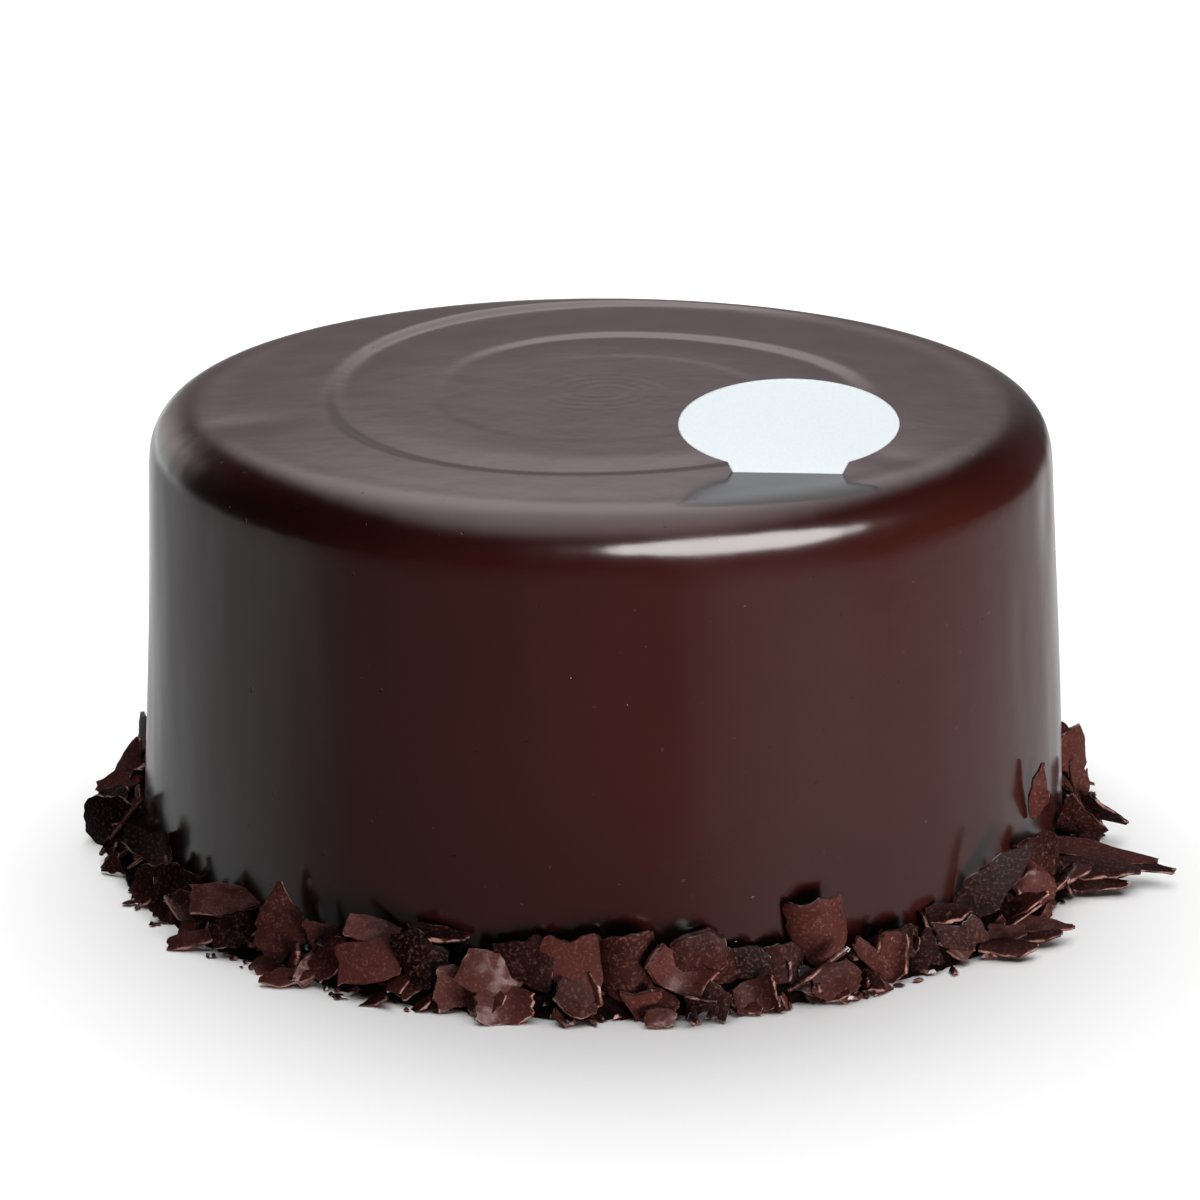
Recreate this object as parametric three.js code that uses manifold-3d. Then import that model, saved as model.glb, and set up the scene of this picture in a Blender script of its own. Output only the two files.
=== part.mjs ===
// A round chocolate fudge cake: one tall body under a poured glaze, a spatula swirl on its top,
// a collar of broken chocolate shards round its foot, one shard stuck to its wall, and a bare white tag.
// Millimetres, +Z up. The origin is the centre of the cake's base, the viewer stands on the -Y side.
// An azimuth is counted in degrees from +X, anticlockwise seen from above, so 270 faces the viewer.
import * as THREE from "three";
import { mergeVertices } from "three/addons/utils/BufferGeometryUtils.js";
import Module from "manifold-3d";

// The cake
const HEIGHT = 101.8;
const BASE_RADIUS = 105.8; // at the foot of the wall
const SHOULDER_RADIUS = 100; // where the wall's line would meet the top: an 8 inch cake
const EDGE_RADIUS = 11; // the glaze's round shoulder
const ROUND_STEPS = 72;
const TOP_STEPS = 16;
const EDGE_STEPS = 5;
const WALL_STEPS = 4;

// The spatula's swirl: a spiral terrace that sinks slowly outward and rises over a short step
const SWIRL_RADIUS = 40; // of the spiral at SWIRL_AZIMUTH
const SWIRL_AZIMUTH = 282;
const SWIRL_GROWTH = 1.64; // from one turn to the next
const SWIRL_SQUEEZE = 0.21; // how far the spiral is pressed in about SQUEEZE_AZIMUTH
const SQUEEZE_AZIMUTH = 171;
const SWIRL_DEPTH = 0.0145; // of a step, as a share of its radius
const SWIRL_STEP = 3.2; // width of the rise
const SWIRL_FULL = 55; // radius from which it has its full depth
const SWIRL_FADE = [80, 93]; // radii between which it dies out
const FRONT_SHARE = 0.15; // of the inner turns' depth that is left on the viewer's side
const FRONT_FADE = [48, 60]; // radii between which a turn stops being an inner one

// The wall's slow waves: depth, waves round the cake, lean along the height, start
const WALL_WAVES = [
  [0.3, 3, 1 / 45, 1.1],
  [0.22, 5, -1 / 28, 2.0],
  [0.15, 8, 1 / 19, 0.5],
];

// The tag
const TAG_WIDTH = 45.4;
const TAG_OVAL_HEIGHT = 19.1;
const TAG_THICK = 1;
const TAG_OVAL_UP = 10.4; // the oval's centre above the glaze
const TAG_SHOULDER = 25; // width where the foot leaves the oval
const TAG_FOOT = 22.6; // width of the foot at the glaze
const TAG_SUNK = 4; // how deep the foot stands in the cake
const TAG_X = 38.3;
const TAG_Y = -66;
const TAG_STEPS = 32;

// The shards
const GAP = 0.3; // air between two pieces
const SHARD_THICK = [1.5, 2.3];
const OUTLINE_JITTER = 0.12; // of half a shard's size
const CORE_OUT = 7; // how far the heap's core reaches from the wall
const CORE_UP = 9;
const CORE_RIM = 1; // of its flat top, out from the wall
const CORE_KNEE = [0.85, 0.55]; // shares of CORE_OUT and CORE_UP where its slope gets steeper
const CORE_SUNK = 2; // how far it starts inside the wall and below the base, before it is cut
const CORE_WAVES = [
  [0.1, 7, 1],
  [0.1, 16, 2],
]; // share of its reach, waves round the heap, start
const CORE_STEPS = 36;

// A shard's outline, in columns from its left edge to its right one: place across, lower edge, upper
// edge, all in halves of its width and height.
const OUTLINES = {
  slab: [[-1, -0.8, 0.7], [-0.4, -1, 0.9], [0.5, -0.9, 1], [1, -0.6, 0.6]],
  shield: [[-1, -0.1, 0.9], [-0.1, -0.55, 0.72], [0.6, -1, 1], [1, 0.1, 0.6]],
  teardrop: [[-1, -0.5, 0.15], [-0.25, -1, 1], [0.2, -0.7, 0.45], [1, -0.35, -0.1]],
  kite: [[-1, 0.4, 0.75], [-0.2, -0.55, 1], [0.35, -1, 0.75], [1, -0.3, 0.3]],
  wedge: [[-1, -1, -0.65], [-0.1, -0.95, 0.8], [0.25, -0.9, 1], [1, -0.8, -0.45]],
  pipe: [[-1, -0.7, 0.8], [-0.4, -1, 0.95], [0.45, -1, 1], [1, -0.75, 0.9]],
  strip: [[-1, -0.7, 0.8], [-0.3, -1, 1], [0.4, -0.9, 0.8], [1, -0.25, 0.35]],
  splinter: [[-1, -0.2, 0.3], [-0.3, -1, 1], [0.4, -0.7, 0.8], [1, -0.2, 0.15]],
  curl: [[-1, 0.1, 0.85], [-0.45, -1, 0.95], [0.45, -1, 1], [1, -0.35, 0.9]],
};
const KINDS = Object.keys(OUTLINES);

// The shards that can be told apart: [outline, azimuth, out from the wall, up, width, height,
// azimuth it faces, lean of its top towards the cake, tip of its right side upwards, bend, thickness].
// A bend is the angle its width turns through: over 0 the middle stands out, under 0 it is a trough.
const CHOSEN = [
  // left side, seen against the background
  ["slab", 166, 7, 8, 11, 14, 205, 5, 12, 20],
  ["wedge", 173, 6, 8, 12, 14, 220, 10, -8, 30],
  ["splinter", 178, 7, 6.5, 15, 7, 232, 45, 18, 0],
  ["slab", 183, 8, 5, 13, 8, 230, 35, 25, 0],
  ["slab", 189, 8, 6, 14, 11, 235, 12, 8, 20],
  ["strip", 194, 5.6, 8.6, 16, 4, 262, 100, 56, 0, 1.2],
  ["wedge", 198, 8.4, 3, 6, 5, 250, 25, 0, 0],
  ["shield", 205, 4, 10.5, 14, 9, 258, 40, -10, 25],
  ["slab", 209, 6, 5.5, 8, 9, 255, 8, 0, 10],
  ["pipe", 214, 5.5, 6.5, 9, 12, 258, 15, -18, 60],
  ["strip", 223.5, 4, 10.6, 16, 8, 268, 52, 4, 0, 1.6],
  ["splinter", 219, 7, 6.5, 12, 6, 262, 50, -14, -60],
  ["slab", 226, 6.5, 6, 9, 7, 262, 30, 20, 0],
  ["strip", 222, 9.5, 2.5, 13, 4, 266, 60, 16, 0],
  // front, from left to right
  ["teardrop", 233.5, 5.4, 10.5, 12.5, 18, 262, 12, 0, 15],
  ["splinter", 236, 10, 2, 12, 4, 268, 45, 6, 0],
  ["wedge", 238, 4, 10.5, 8, 7, 265, 20, -75, 0],
  ["slab", 240, 6, 6.5, 10, 7, 258, 35, 38, 0],
  ["slab", 245, 7.5, 8, 13, 9, 262, 22, 6, 10],
  ["slab", 244.5, 4, 13.5, 11, 6, 266, 45, -14, 0],
  ["kite", 250.5, 6.5, 10, 12, 13.5, 264, 8, 0, 60],
  ["strip", 252, 3.5, 15, 12, 5, 264, 75, -4, 0, 1.4],
  ["slab", 254.5, 6.5, 5.5, 8, 9, 275, 15, -14, 0],
  ["slab", 258.5, 6, 8.5, 13, 9, 262, 32, -22, 15],
  ["shield", 262, 4.5, 10.5, 12, 12, 264, 22, 14, 10],
  ["slab", 260, 8.5, 2.8, 12, 7.5, 268, 38, 0, -50],
  ["shield", 267, 5, 10.8, 14, 14, 268, 15, -4, 20],
  ["slab", 267.5, 8, 5, 9, 7, 270, 50, -28, 0],
  ["pipe", 272.5, 6.5, 11.2, 13.5, 13, 271, 4, 0, 140],
  ["wedge", 274, 8, 3.6, 8, 7, 272, 10, 180, 30],
  ["slab", 275.8, 10.5, 1.8, 6, 4, 270, 40, 0, 0],
  ["pipe", 277.8, 6.5, 9.5, 14, 8, 266, 32, -34, -90],
  ["slab", 280.5, 4, 12.5, 11, 9, 274, 12, 6, 0, 5],
  ["wedge", 283, 5, 8.5, 9, 8, 278, 20, -130, 20],
  ["kite", 281, 9.5, 4.4, 8.5, 9.5, 272, 18, 18, 10],
  ["wedge", 279.6, 9.8, 3.2, 6, 7, 268, 30, 165, 0],
  ["pipe", 286, 7, 3.3, 10.2, 7, 274, 22, 14, -100],
  ["slab", 285.2, 4, 9.5, 11, 7.5, 276, 15, -8, 10],
  ["slab", 289.6, 4.5, 8.3, 9, 8.5, 278, 15, 0, 45],
  ["curl", 293.7, 5, 14.3, 13.2, 14.5, 278, 4, 6, 100],
  ["strip", 292.9, 8.3, 7.6, 14.5, 3.2, 270, 108, 37, 0, 1.1],
  ["slab", 294.8, 8.5, 4.8, 10, 7.4, 276, 18, 4, 0],
  ["strip", 299.8, 6.5, 7, 11, 3.4, 276, 15, -48, 0],
  ["pipe", 299.4, 7.5, 3, 6, 5.5, 276, 60, 0, 130],
  ["slab", 302.6, 4.8, 5.8, 8, 11.4, 284, 8, -12, -120],
  ["slab", 305.1, 4.2, 7, 6, 7.5, 286, 14, 0, 0],
  ["wedge", 307.3, 6, 5.6, 6.8, 9.2, 282, 12, 0, 0],
  ["kite", 310.9, 6, 5.3, 10, 7.4, 284, 20, -18, 0],
  ["strip", 312, 3.5, 10, 9.5, 5, 284, 70, 2, 0, 1.4],
  ["slab", 314.3, 6.5, 5.4, 5, 7, 290, 20, 20, 0],
  ["splinter", 318.2, 5.6, 13.6, 24, 9.4, 292, 30, 36, 30],
  ["strip", 321, 6.5, 5.5, 13.5, 5.7, 275, 60, 25, 0],
  ["splinter", 321.8, 7.6, 7, 13, 5.2, 268, 60, 32, 0],
  ["strip", 317.6, 8, 3.4, 11, 5.5, 270, 50, 10, 0],
  ["splinter", 321.8, 11.6, 3.9, 16, 5, 266, 66, -3, 0],
  ["strip", 320.8, 12.5, 2.5, 12, 4.5, 266, 70, 3, 0],
  ["strip", 316.4, 12.5, 2.2, 12, 5, 266, 72, -2, 0],
  ["slab", 326, 7, 8, 8, 8, 292, 15, 30, 40],
  ["strip", 331.6, 7.6, 6, 10.5, 2.4, 275, 60, 45, 0, 1.3],
  ["strip", 328.5, 5, 8.5, 12, 6, 300, 40, -30, 0],
  ["wedge", 331, 4, 13.4, 14, 8.5, 296, 20, -42, 0],
  // right side
  ["strip", 334.5, 6, 5, 13, 6, 280, 65, 10, 0],
  ["strip", 340.8, 11.8, 6.5, 24, 5.4, 265, 66, -9, 0],
  ["strip", 338.3, 12, 4.6, 18, 6, 265, 68, -2, 0],
  ["splinter", 340.6, 16, 5, 23, 4.8, 265, 66, -7, 0],
  ["strip", 336.7, 12, 2.5, 15, 5, 268, 70, -2, 0],
  ["wedge", 344.5, 4.4, 10.2, 13.4, 8, 292, 24, 130, 15],
  ["wedge", 353, 8.4, 6.6, 12.5, 8, 285, 55, 140, 0],
  ["strip", 353, 4.5, 13, 4, 12, 290, 4, 8, 0],
  ["slab", 9, 7.5, 9.4, 10, 12, 318, 8, -6, 20],
  ["kite", 15, 7.6, 7.5, 10, 13, 322, 18, 10, 0],
  ["kite", 11.6, 8, 3.8, 7, 8, 318, 20, -30, 0],
  ["wedge", 21, 9, 10, 11, 12, 330, 10, 0, 20],
];

// The rest of the heap, in rows: how many shards, the azimuths they are spread over, and the ranges that
// their sizes and angles are drawn from. A turn and a tip go as far to either side.
const ROWS = [
  {
    count: 18,
    azimuth: [26, 160],
    out: [3, 5.5],
    up: [8, 11],
    width: [9, 15],
    height: [9, 15],
    turn: 30,
    lean: [5, 35],
    tip: 40,
    bend: [-60, 90],
  },
  {
    count: 20,
    azimuth: [18, 168],
    out: [6.2, 8.4],
    up: [3.5, 5.8],
    width: [8, 14],
    height: [7, 12],
    turn: 45,
    lean: [30, 72],
    tip: 30,
    bend: [-40, 40],
  },
  {
    count: 17,
    azimuth: [165, 382],
    out: [5, 8],
    up: [3, 4.5],
    width: [7, 10],
    height: [6, 8],
    turn: 40,
    lean: [15, 60],
    tip: 40,
    bend: [-30, 40],
  },
];
const ROW_SEED = 4177;

// The shard on the wall stands off it, edge on
const WALL_SHARD = ["splinter", 332.7, 3.1, 24.8, 12.5, 4.8, 282, 0, 82, 30];
const WALL_SHARD_SEED = 900;

const GLAZE = { color: 0x3a2220, roughness: 0.2 };
const CHOCOLATE = { color: 0x4d2c28, roughness: 0.6 };
const CARD = { color: 0xf0f6f8, roughness: 0.4 };

const SAME_POINT = 1e-3; // corners nearer than this are one
const BLOCK = 400; // larger than the whole part

const wasm = await Module();
wasm.setup();

const rad = THREE.MathUtils.degToRad;
const { lerp, smoothstep } = THREE.MathUtils;

// A small repeatable generator of numbers from 0 to 1
function numbers(seed) {
  let state = (seed * 7919 + 13) % 2147483647;
  return () => {
    state = (state * 16807) % 2147483647;
    return state / 2147483647;
  };
}

function wallRadius(z) {
  return lerp(BASE_RADIUS, SHOULDER_RADIUS, z / HEIGHT);
}

// Height of the swirl above or below the top's plane
function swirl(x, y) {
  const radius = Math.hypot(x, y);
  if (radius < SWIRL_STEP) return 0;
  const azimuth = THREE.MathUtils.radToDeg(Math.atan2(y, x));
  const pressed = Math.max(0, Math.cos(rad(azimuth - SQUEEZE_AZIMUTH))) ** 2;
  const start = SWIRL_RADIUS * (1 - SWIRL_SQUEEZE * pressed);
  const growth = Math.log(SWIRL_GROWTH);
  const turns = Math.log(radius / start) / growth - (SWIRL_AZIMUTH - azimuth) / 360;
  const place = turns - Math.round(turns); // -0.5 to 0.5, with the rise about 0
  const step = SWIRL_STEP / (radius * growth);
  const inStep = Math.abs(place) < step / 2;
  const level = inStep ? place / step : (Math.sign(place) / 2 - place) / (1 - step);
  const inner = 1 - smoothstep(radius, ...FRONT_FADE);
  const worn = (1 - FRONT_SHARE) * inner * Math.max(0, -Math.sin(rad(azimuth)));
  const depth = SWIRL_DEPTH * radius * smoothstep(radius, 0, SWIRL_FULL) * (1 - worn);
  return depth * level * (1 - smoothstep(radius, ...SWIRL_FADE));
}

function wallWave(azimuth, z) {
  const wave = ([depth, waves, lean, start]) => depth * Math.sin(waves * azimuth + lean * z + start);
  return WALL_WAVES.map(wave).reduce((sum, part) => sum + part);
}

// Section from the base's centre out, up the wall, over the round shoulder and in along the top.
// It can be grown by a gap on every side.
function cakeProfile(grow) {
  const slope = Math.atan((BASE_RADIUS - SHOULDER_RADIUS) / HEIGHT);
  const arcZ = HEIGHT - EDGE_RADIUS;
  const arcR = wallRadius(arcZ) - EDGE_RADIUS / Math.cos(slope);
  const points = [new THREE.Vector2(0, -grow)];
  for (let i = 0; i < WALL_STEPS; i++) {
    const z = lerp(-grow, arcZ, i / WALL_STEPS);
    points.push(new THREE.Vector2(wallRadius(z) + grow, z));
  }
  for (let i = 0; i <= EDGE_STEPS; i++) {
    const turn = lerp(slope, Math.PI / 2, i / EDGE_STEPS);
    const reach = EDGE_RADIUS + grow;
    points.push(new THREE.Vector2(arcR + reach * Math.cos(turn), arcZ + reach * Math.sin(turn)));
  }
  for (let i = TOP_STEPS - 1; i >= 0; i--)
    points.push(new THREE.Vector2((arcR * i) / TOP_STEPS, HEIGHT + grow));
  return points;
}

// The profile turned round +Z, then moved by the wall's waves and the top's swirl
function cakeGeometry(grow = 0) {
  const geometry = new THREE.LatheGeometry(cakeProfile(grow), ROUND_STEPS).rotateX(Math.PI / 2);
  const at = geometry.attributes.position;
  for (let i = 0; i < at.count; i++) {
    const [x, y, z] = [at.getX(i), at.getY(i), at.getZ(i)];
    const radius = Math.hypot(x, y);
    const onWall = smoothstep(radius, SHOULDER_RADIUS - EDGE_RADIUS, SHOULDER_RADIUS);
    const wider = radius > 0 ? 1 + (onWall * wallWave(Math.atan2(y, x), z)) / radius : 1;
    const higher = z > HEIGHT - SAME_POINT ? swirl(x, y) : 0;
    at.setXYZ(i, x * wider, y * wider, z + higher);
  }
  return geometry;
}

function solidOf(geometry) {
  geometry.deleteAttribute("normal");
  geometry.deleteAttribute("uv");
  const merged = mergeVertices(geometry, SAME_POINT);
  const used = merged.index.array;
  const triVerts = [];
  for (let i = 0; i < used.length; i += 3) {
    const [a, b, c] = used.subarray(i, i + 3);
    if (a !== b && b !== c && c !== a) triVerts.push(a, b, c);
  }
  const vertProperties = merged.attributes.position.array;
  return new wasm.Manifold(
    new wasm.Mesh({ numProp: 3, vertProperties, triVerts: Uint32Array.from(triVerts) }),
  );
}

function geometryOf(solid) {
  const { vertProperties, triVerts } = solid.getMesh();
  return new THREE.BufferGeometry()
    .setAttribute("position", new THREE.BufferAttribute(vertProperties, 3))
    .setIndex(new THREE.BufferAttribute(triVerts, 1));
}

// The oval with its foot, standing on the glaze, seen from the viewer's side
function tagGeometry() {
  const turn = Math.acos(TAG_SHOULDER / TAG_WIDTH);
  const bottom = -TAG_OVAL_UP - TAG_SUNK;
  const outline = new THREE.Shape();
  outline.absellipse(0, 0, TAG_WIDTH / 2, TAG_OVAL_HEIGHT / 2, -turn, Math.PI + turn, false, 0);
  outline.lineTo(-TAG_FOOT / 2, -TAG_OVAL_UP);
  outline.lineTo(-TAG_FOOT / 2, bottom);
  outline.lineTo(TAG_FOOT / 2, bottom);
  outline.lineTo(TAG_FOOT / 2, -TAG_OVAL_UP);
  const card = { depth: TAG_THICK, bevelEnabled: false, curveSegments: TAG_STEPS };
  return new THREE.ExtrudeGeometry(outline, card)
    .rotateX(Math.PI / 2)
    .translate(TAG_X, TAG_Y + TAG_THICK / 2, HEIGHT + TAG_OVAL_UP);
}

// The slot that the tag's foot stands in
function slotGeometry() {
  const tall = 2 * TAG_SUNK;
  const middle = HEIGHT - TAG_SUNK - GAP + tall / 2;
  return new THREE.BoxGeometry(TAG_FOOT + 2 * GAP, TAG_THICK + 2 * GAP, tall)
    .translate(TAG_X, TAG_Y, middle);
}

// One broken shard. Its columns are bent round an upright axis, each gives four corners, and the corners
// of neighbouring columns are joined to a closed skin.
function shardGeometry(shard, seed) {
  const [kind, azimuth, out, up, width, height, face, lean, tip, bend, thickness] = shard;
  const draw = numbers(seed);
  const thick = thickness ?? lerp(...SHARD_THICK, draw());
  const jitter = () => OUTLINE_JITTER * (2 * draw() - 1);
  const corners = [];
  for (const [across, low, high] of OUTLINES[kind]) {
    const [lower, upper] = [low + jitter(), high + jitter()];
    const turn = (rad(bend) * across) / 2;
    const round = Math.abs(bend) > 1 ? width / rad(bend) : 0;
    const x = round ? round * Math.sin(turn) : (across * width) / 2;
    const depth = round ? round * (Math.cos(turn) - 1) : 0;
    for (const side of [1, -1])
      for (const edge of [lower, upper])
        corners.push(
          x + (side * thick * Math.sin(turn)) / 2,
          (edge * height) / 2,
          depth + (side * thick * Math.cos(turn)) / 2,
        );
  }
  // A column's corners: 0 front low, 1 front high, 2 back low, 3 back high
  const skin = [];
  const quad = (a, b, c, d) => skin.push(a, b, c, a, c, d);
  const columns = OUTLINES[kind].length;
  quad(2, 0, 1, 3);
  for (let i = 0; i < 4 * (columns - 1); i += 4) {
    quad(i, i + 4, i + 5, i + 1);
    quad(i + 2, i + 3, i + 7, i + 6); // split along the same diagonal as the front
    quad(i + 1, i + 5, i + 7, i + 3);
    quad(i + 2, i + 6, i + 4, i);
  }
  const last = 4 * (columns - 1);
  quad(last, last + 2, last + 3, last + 1);
  const outward = new THREE.Vector3(Math.cos(rad(face)), Math.sin(rad(face)), 0);
  const across = new THREE.Vector3(-outward.y, outward.x, 0);
  const reach = wallRadius(up) + out;
  const placed = new THREE.Matrix4()
    .makeBasis(across, new THREE.Vector3(0, 0, 1), outward)
    .multiply(new THREE.Matrix4().makeRotationZ(rad(tip)))
    .multiply(new THREE.Matrix4().makeRotationX(rad(-lean)));
  placed.setPosition(reach * Math.cos(rad(azimuth)), reach * Math.sin(rad(azimuth)), up);
  return new THREE.BufferGeometry()
    .setAttribute("position", new THREE.Float32BufferAttribute(corners, 3))
    .setIndex(skin)
    .applyMatrix4(placed);
}

// The shards of the rows, drawn from their ranges
function rowShards() {
  const draw = numbers(ROW_SEED);
  const within = ([least, most]) => lerp(least, most, draw());
  const about = (most) => most * (2 * draw() - 1);
  return ROWS.flatMap((row) =>
    Array.from({ length: row.count }, (_, i) => {
      const azimuth = lerp(...row.azimuth, (i + draw()) / row.count);
      const kind = KINDS[Math.floor(draw() * KINDS.length)];
      const [out, up] = [within(row.out), within(row.up)];
      const [width, height] = [within(row.width), within(row.height)];
      const face = azimuth + about(row.turn);
      const [lean, tip, bend] = [within(row.lean), about(row.tip), within(row.bend)];
      return [kind, azimuth, out, up, width, height, face, lean, tip, bend];
    }),
  );
}

// The heap's core: a ring with a sloping, uneven outside
function coreGeometry() {
  const section = [
    [-CORE_SUNK, -CORE_SUNK],
    [CORE_OUT, -CORE_SUNK],
    [CORE_OUT * CORE_KNEE[0], CORE_UP * CORE_KNEE[1]],
    [CORE_RIM, CORE_UP],
    [-CORE_SUNK, CORE_UP],
    [-CORE_SUNK, -CORE_SUNK],
  ].map(([out, up]) => new THREE.Vector2(BASE_RADIUS + out, up));
  const geometry = new THREE.LatheGeometry(section, CORE_STEPS).rotateX(Math.PI / 2);
  const at = geometry.attributes.position;
  for (let i = 0; i < at.count; i++) {
    const [x, y, z] = [at.getX(i), at.getY(i), at.getZ(i)];
    const azimuth = Math.atan2(y, x);
    const wave = ([share, waves, start]) => share * Math.sin(waves * azimuth + start);
    const uneven = 1 + CORE_WAVES.map(wave).reduce((sum, part) => sum + part);
    const out = Math.hypot(x, y) - BASE_RADIUS;
    const reach = BASE_RADIUS + (out > 0 ? out * uneven : out);
    at.setXYZ(i, reach * Math.cos(azimuth), reach * Math.sin(azimuth), z > 0 ? z * uneven : z);
  }
  return geometry;
}

// The heap as one solid: core and shards joined, kept clear of the cake and cut level with its base
function shardHeap() {
  const shards = [...CHOSEN, ...rowShards()];
  const pieces = shards.map((shard, i) => solidOf(shardGeometry(shard, i + 1)));
  const joined = pieces.reduce((heap, piece) => heap.add(piece), solidOf(coreGeometry()));
  const below = solidOf(new THREE.BoxGeometry(BLOCK, BLOCK, BLOCK).translate(0, 0, -BLOCK / 2));
  const trimmed = joined.subtract(solidOf(cakeGeometry(GAP))).subtract(below);
  return trimmed
    .decompose()
    .reduce((most, body) => (body.volume() > most.volume() ? body : most));
}

function mesh(name, geometry, look) {
  const made = new THREE.Mesh(geometry, new THREE.MeshStandardMaterial(look));
  made.name = name;
  return made;
}

const cake = solidOf(cakeGeometry()).subtract(solidOf(slotGeometry()));
const group = new THREE.Group();
group.add(
  mesh("cake", geometryOf(cake), GLAZE),
  mesh("chocolate_shards", geometryOf(shardHeap()), CHOCOLATE),
  mesh("wall_shard", shardGeometry(WALL_SHARD, WALL_SHARD_SEED), CHOCOLATE),
  mesh("tag", tagGeometry(), CARD),
);

export default group;
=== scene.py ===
"""A chocolate fudge cake: poured glaze with a spatula swirl, broken chocolate round its foot and a bare tag.

Laid out as an add-on: property groups hold the sizes and colours, one operator makes each piece and one the
stage, and a panel lists them. Lengths are in metres, or in millimetres where a name or a comment says so.
+Z is up, the viewer stands on the -Y side, and an azimuth is counted from +X, anticlockwise seen from above:
in degrees in the tables and sizes, in radians in the formulas.
"""

import math

import bpy
import numpy as np
from bpy.props import FloatProperty, FloatVectorProperty, IntProperty, PointerProperty
from bpy.types import Operator, Panel, PropertyGroup
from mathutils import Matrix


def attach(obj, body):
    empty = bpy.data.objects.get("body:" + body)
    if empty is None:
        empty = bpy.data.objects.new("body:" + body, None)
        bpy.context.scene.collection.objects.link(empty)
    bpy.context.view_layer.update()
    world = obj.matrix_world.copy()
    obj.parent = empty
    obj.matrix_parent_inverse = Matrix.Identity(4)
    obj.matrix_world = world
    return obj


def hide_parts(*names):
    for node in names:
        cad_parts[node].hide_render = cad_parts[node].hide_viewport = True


bl_info = {
    "name": "Chocolate Fudge Cake",
    "version": (1, 0, 0),
    "blender": (4, 5, 0),
    "location": "View3D > Sidebar > Cake",
    "description": "Makes a glazed chocolate fudge cake with a collar of broken chocolate shards",
    "category": "Add Mesh",
}

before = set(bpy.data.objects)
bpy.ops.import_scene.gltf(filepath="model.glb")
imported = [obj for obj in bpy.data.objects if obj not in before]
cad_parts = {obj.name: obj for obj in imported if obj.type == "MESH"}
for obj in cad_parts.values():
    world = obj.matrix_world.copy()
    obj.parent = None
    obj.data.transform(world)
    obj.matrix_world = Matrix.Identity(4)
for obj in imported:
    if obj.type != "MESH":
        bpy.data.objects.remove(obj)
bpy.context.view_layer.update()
ROOT = "root"
MM = 0.001
TAU = 2 * math.pi

# The wall's slow waves: depth, waves round the cake, lean along the height, start
WALL_WAVES_MM = ((0.3, 3, 1 / 45, 1.1), (0.22, 5, -1 / 28, 2.0), (0.15, 8, 1 / 19, 0.5))
# The poured glaze's fine ripples, the same way
RIPPLES_MM = (
    (0.030, 17, 1 / 13, 0.4),
    (0.022, 29, -1 / 17, 1.9),
    (0.015, 43, 1 / 23, 2.6),
    (0.011, 67, 1 / 9, 0.9),
)
# Shallow presses in the glaze: azimuth, height or radius, size across, size along, depth
WALL_PRESSES_MM = (
    (342, 84, 5.0, 9.0, 0.35),
    (331, 60, 4.0, 16.0, 0.18),
    (214, 70, 9.0, 20.0, 0.15),
)
TOP_PRESSES_MM = ((200, 84, 7.0, 11.0, 0.30), (318, 80, 6.0, 10.0, 0.15))
# Fine ripples at the middle of the swirl: depth, from one to the next, arms, and the radii between which they
# come and go
CURL_MM = (0.014, 3.6, 2, (1, 5), (9, 22))

# A shard's outline, in columns from its left edge to its right one: place across, lower edge, upper edge,
# all in halves of its width and height
OUTLINES = {
    "slab": ((-1, -0.8, 0.7), (-0.4, -1, 0.9), (0.5, -0.9, 1), (1, -0.6, 0.6)),
    "shield": ((-1, -0.1, 0.9), (-0.1, -0.55, 0.72), (0.6, -1, 1), (1, 0.1, 0.6)),
    "teardrop": ((-1, -0.5, 0.15), (-0.25, -1, 1), (0.2, -0.7, 0.45), (1, -0.35, -0.1)),
    "kite": ((-1, 0.4, 0.75), (-0.2, -0.55, 1), (0.35, -1, 0.75), (1, -0.3, 0.3)),
    "wedge": ((-1, -1, -0.65), (-0.1, -0.95, 0.8), (0.25, -0.9, 1), (1, -0.8, -0.45)),
    "pipe": ((-1, -0.7, 0.8), (-0.4, -1, 0.95), (0.45, -1, 1), (1, -0.75, 0.9)),
    "strip": ((-1, -0.7, 0.8), (-0.3, -1, 1), (0.4, -0.9, 0.8), (1, -0.25, 0.35)),
    "splinter": ((-1, -0.2, 0.3), (-0.3, -1, 1), (0.4, -0.7, 0.8), (1, -0.2, 0.15)),
    "curl": ((-1, 0.1, 0.85), (-0.45, -1, 0.95), (0.45, -1, 1), (1, -0.35, 0.9)),
}
KINDS = tuple(OUTLINES)

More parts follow.
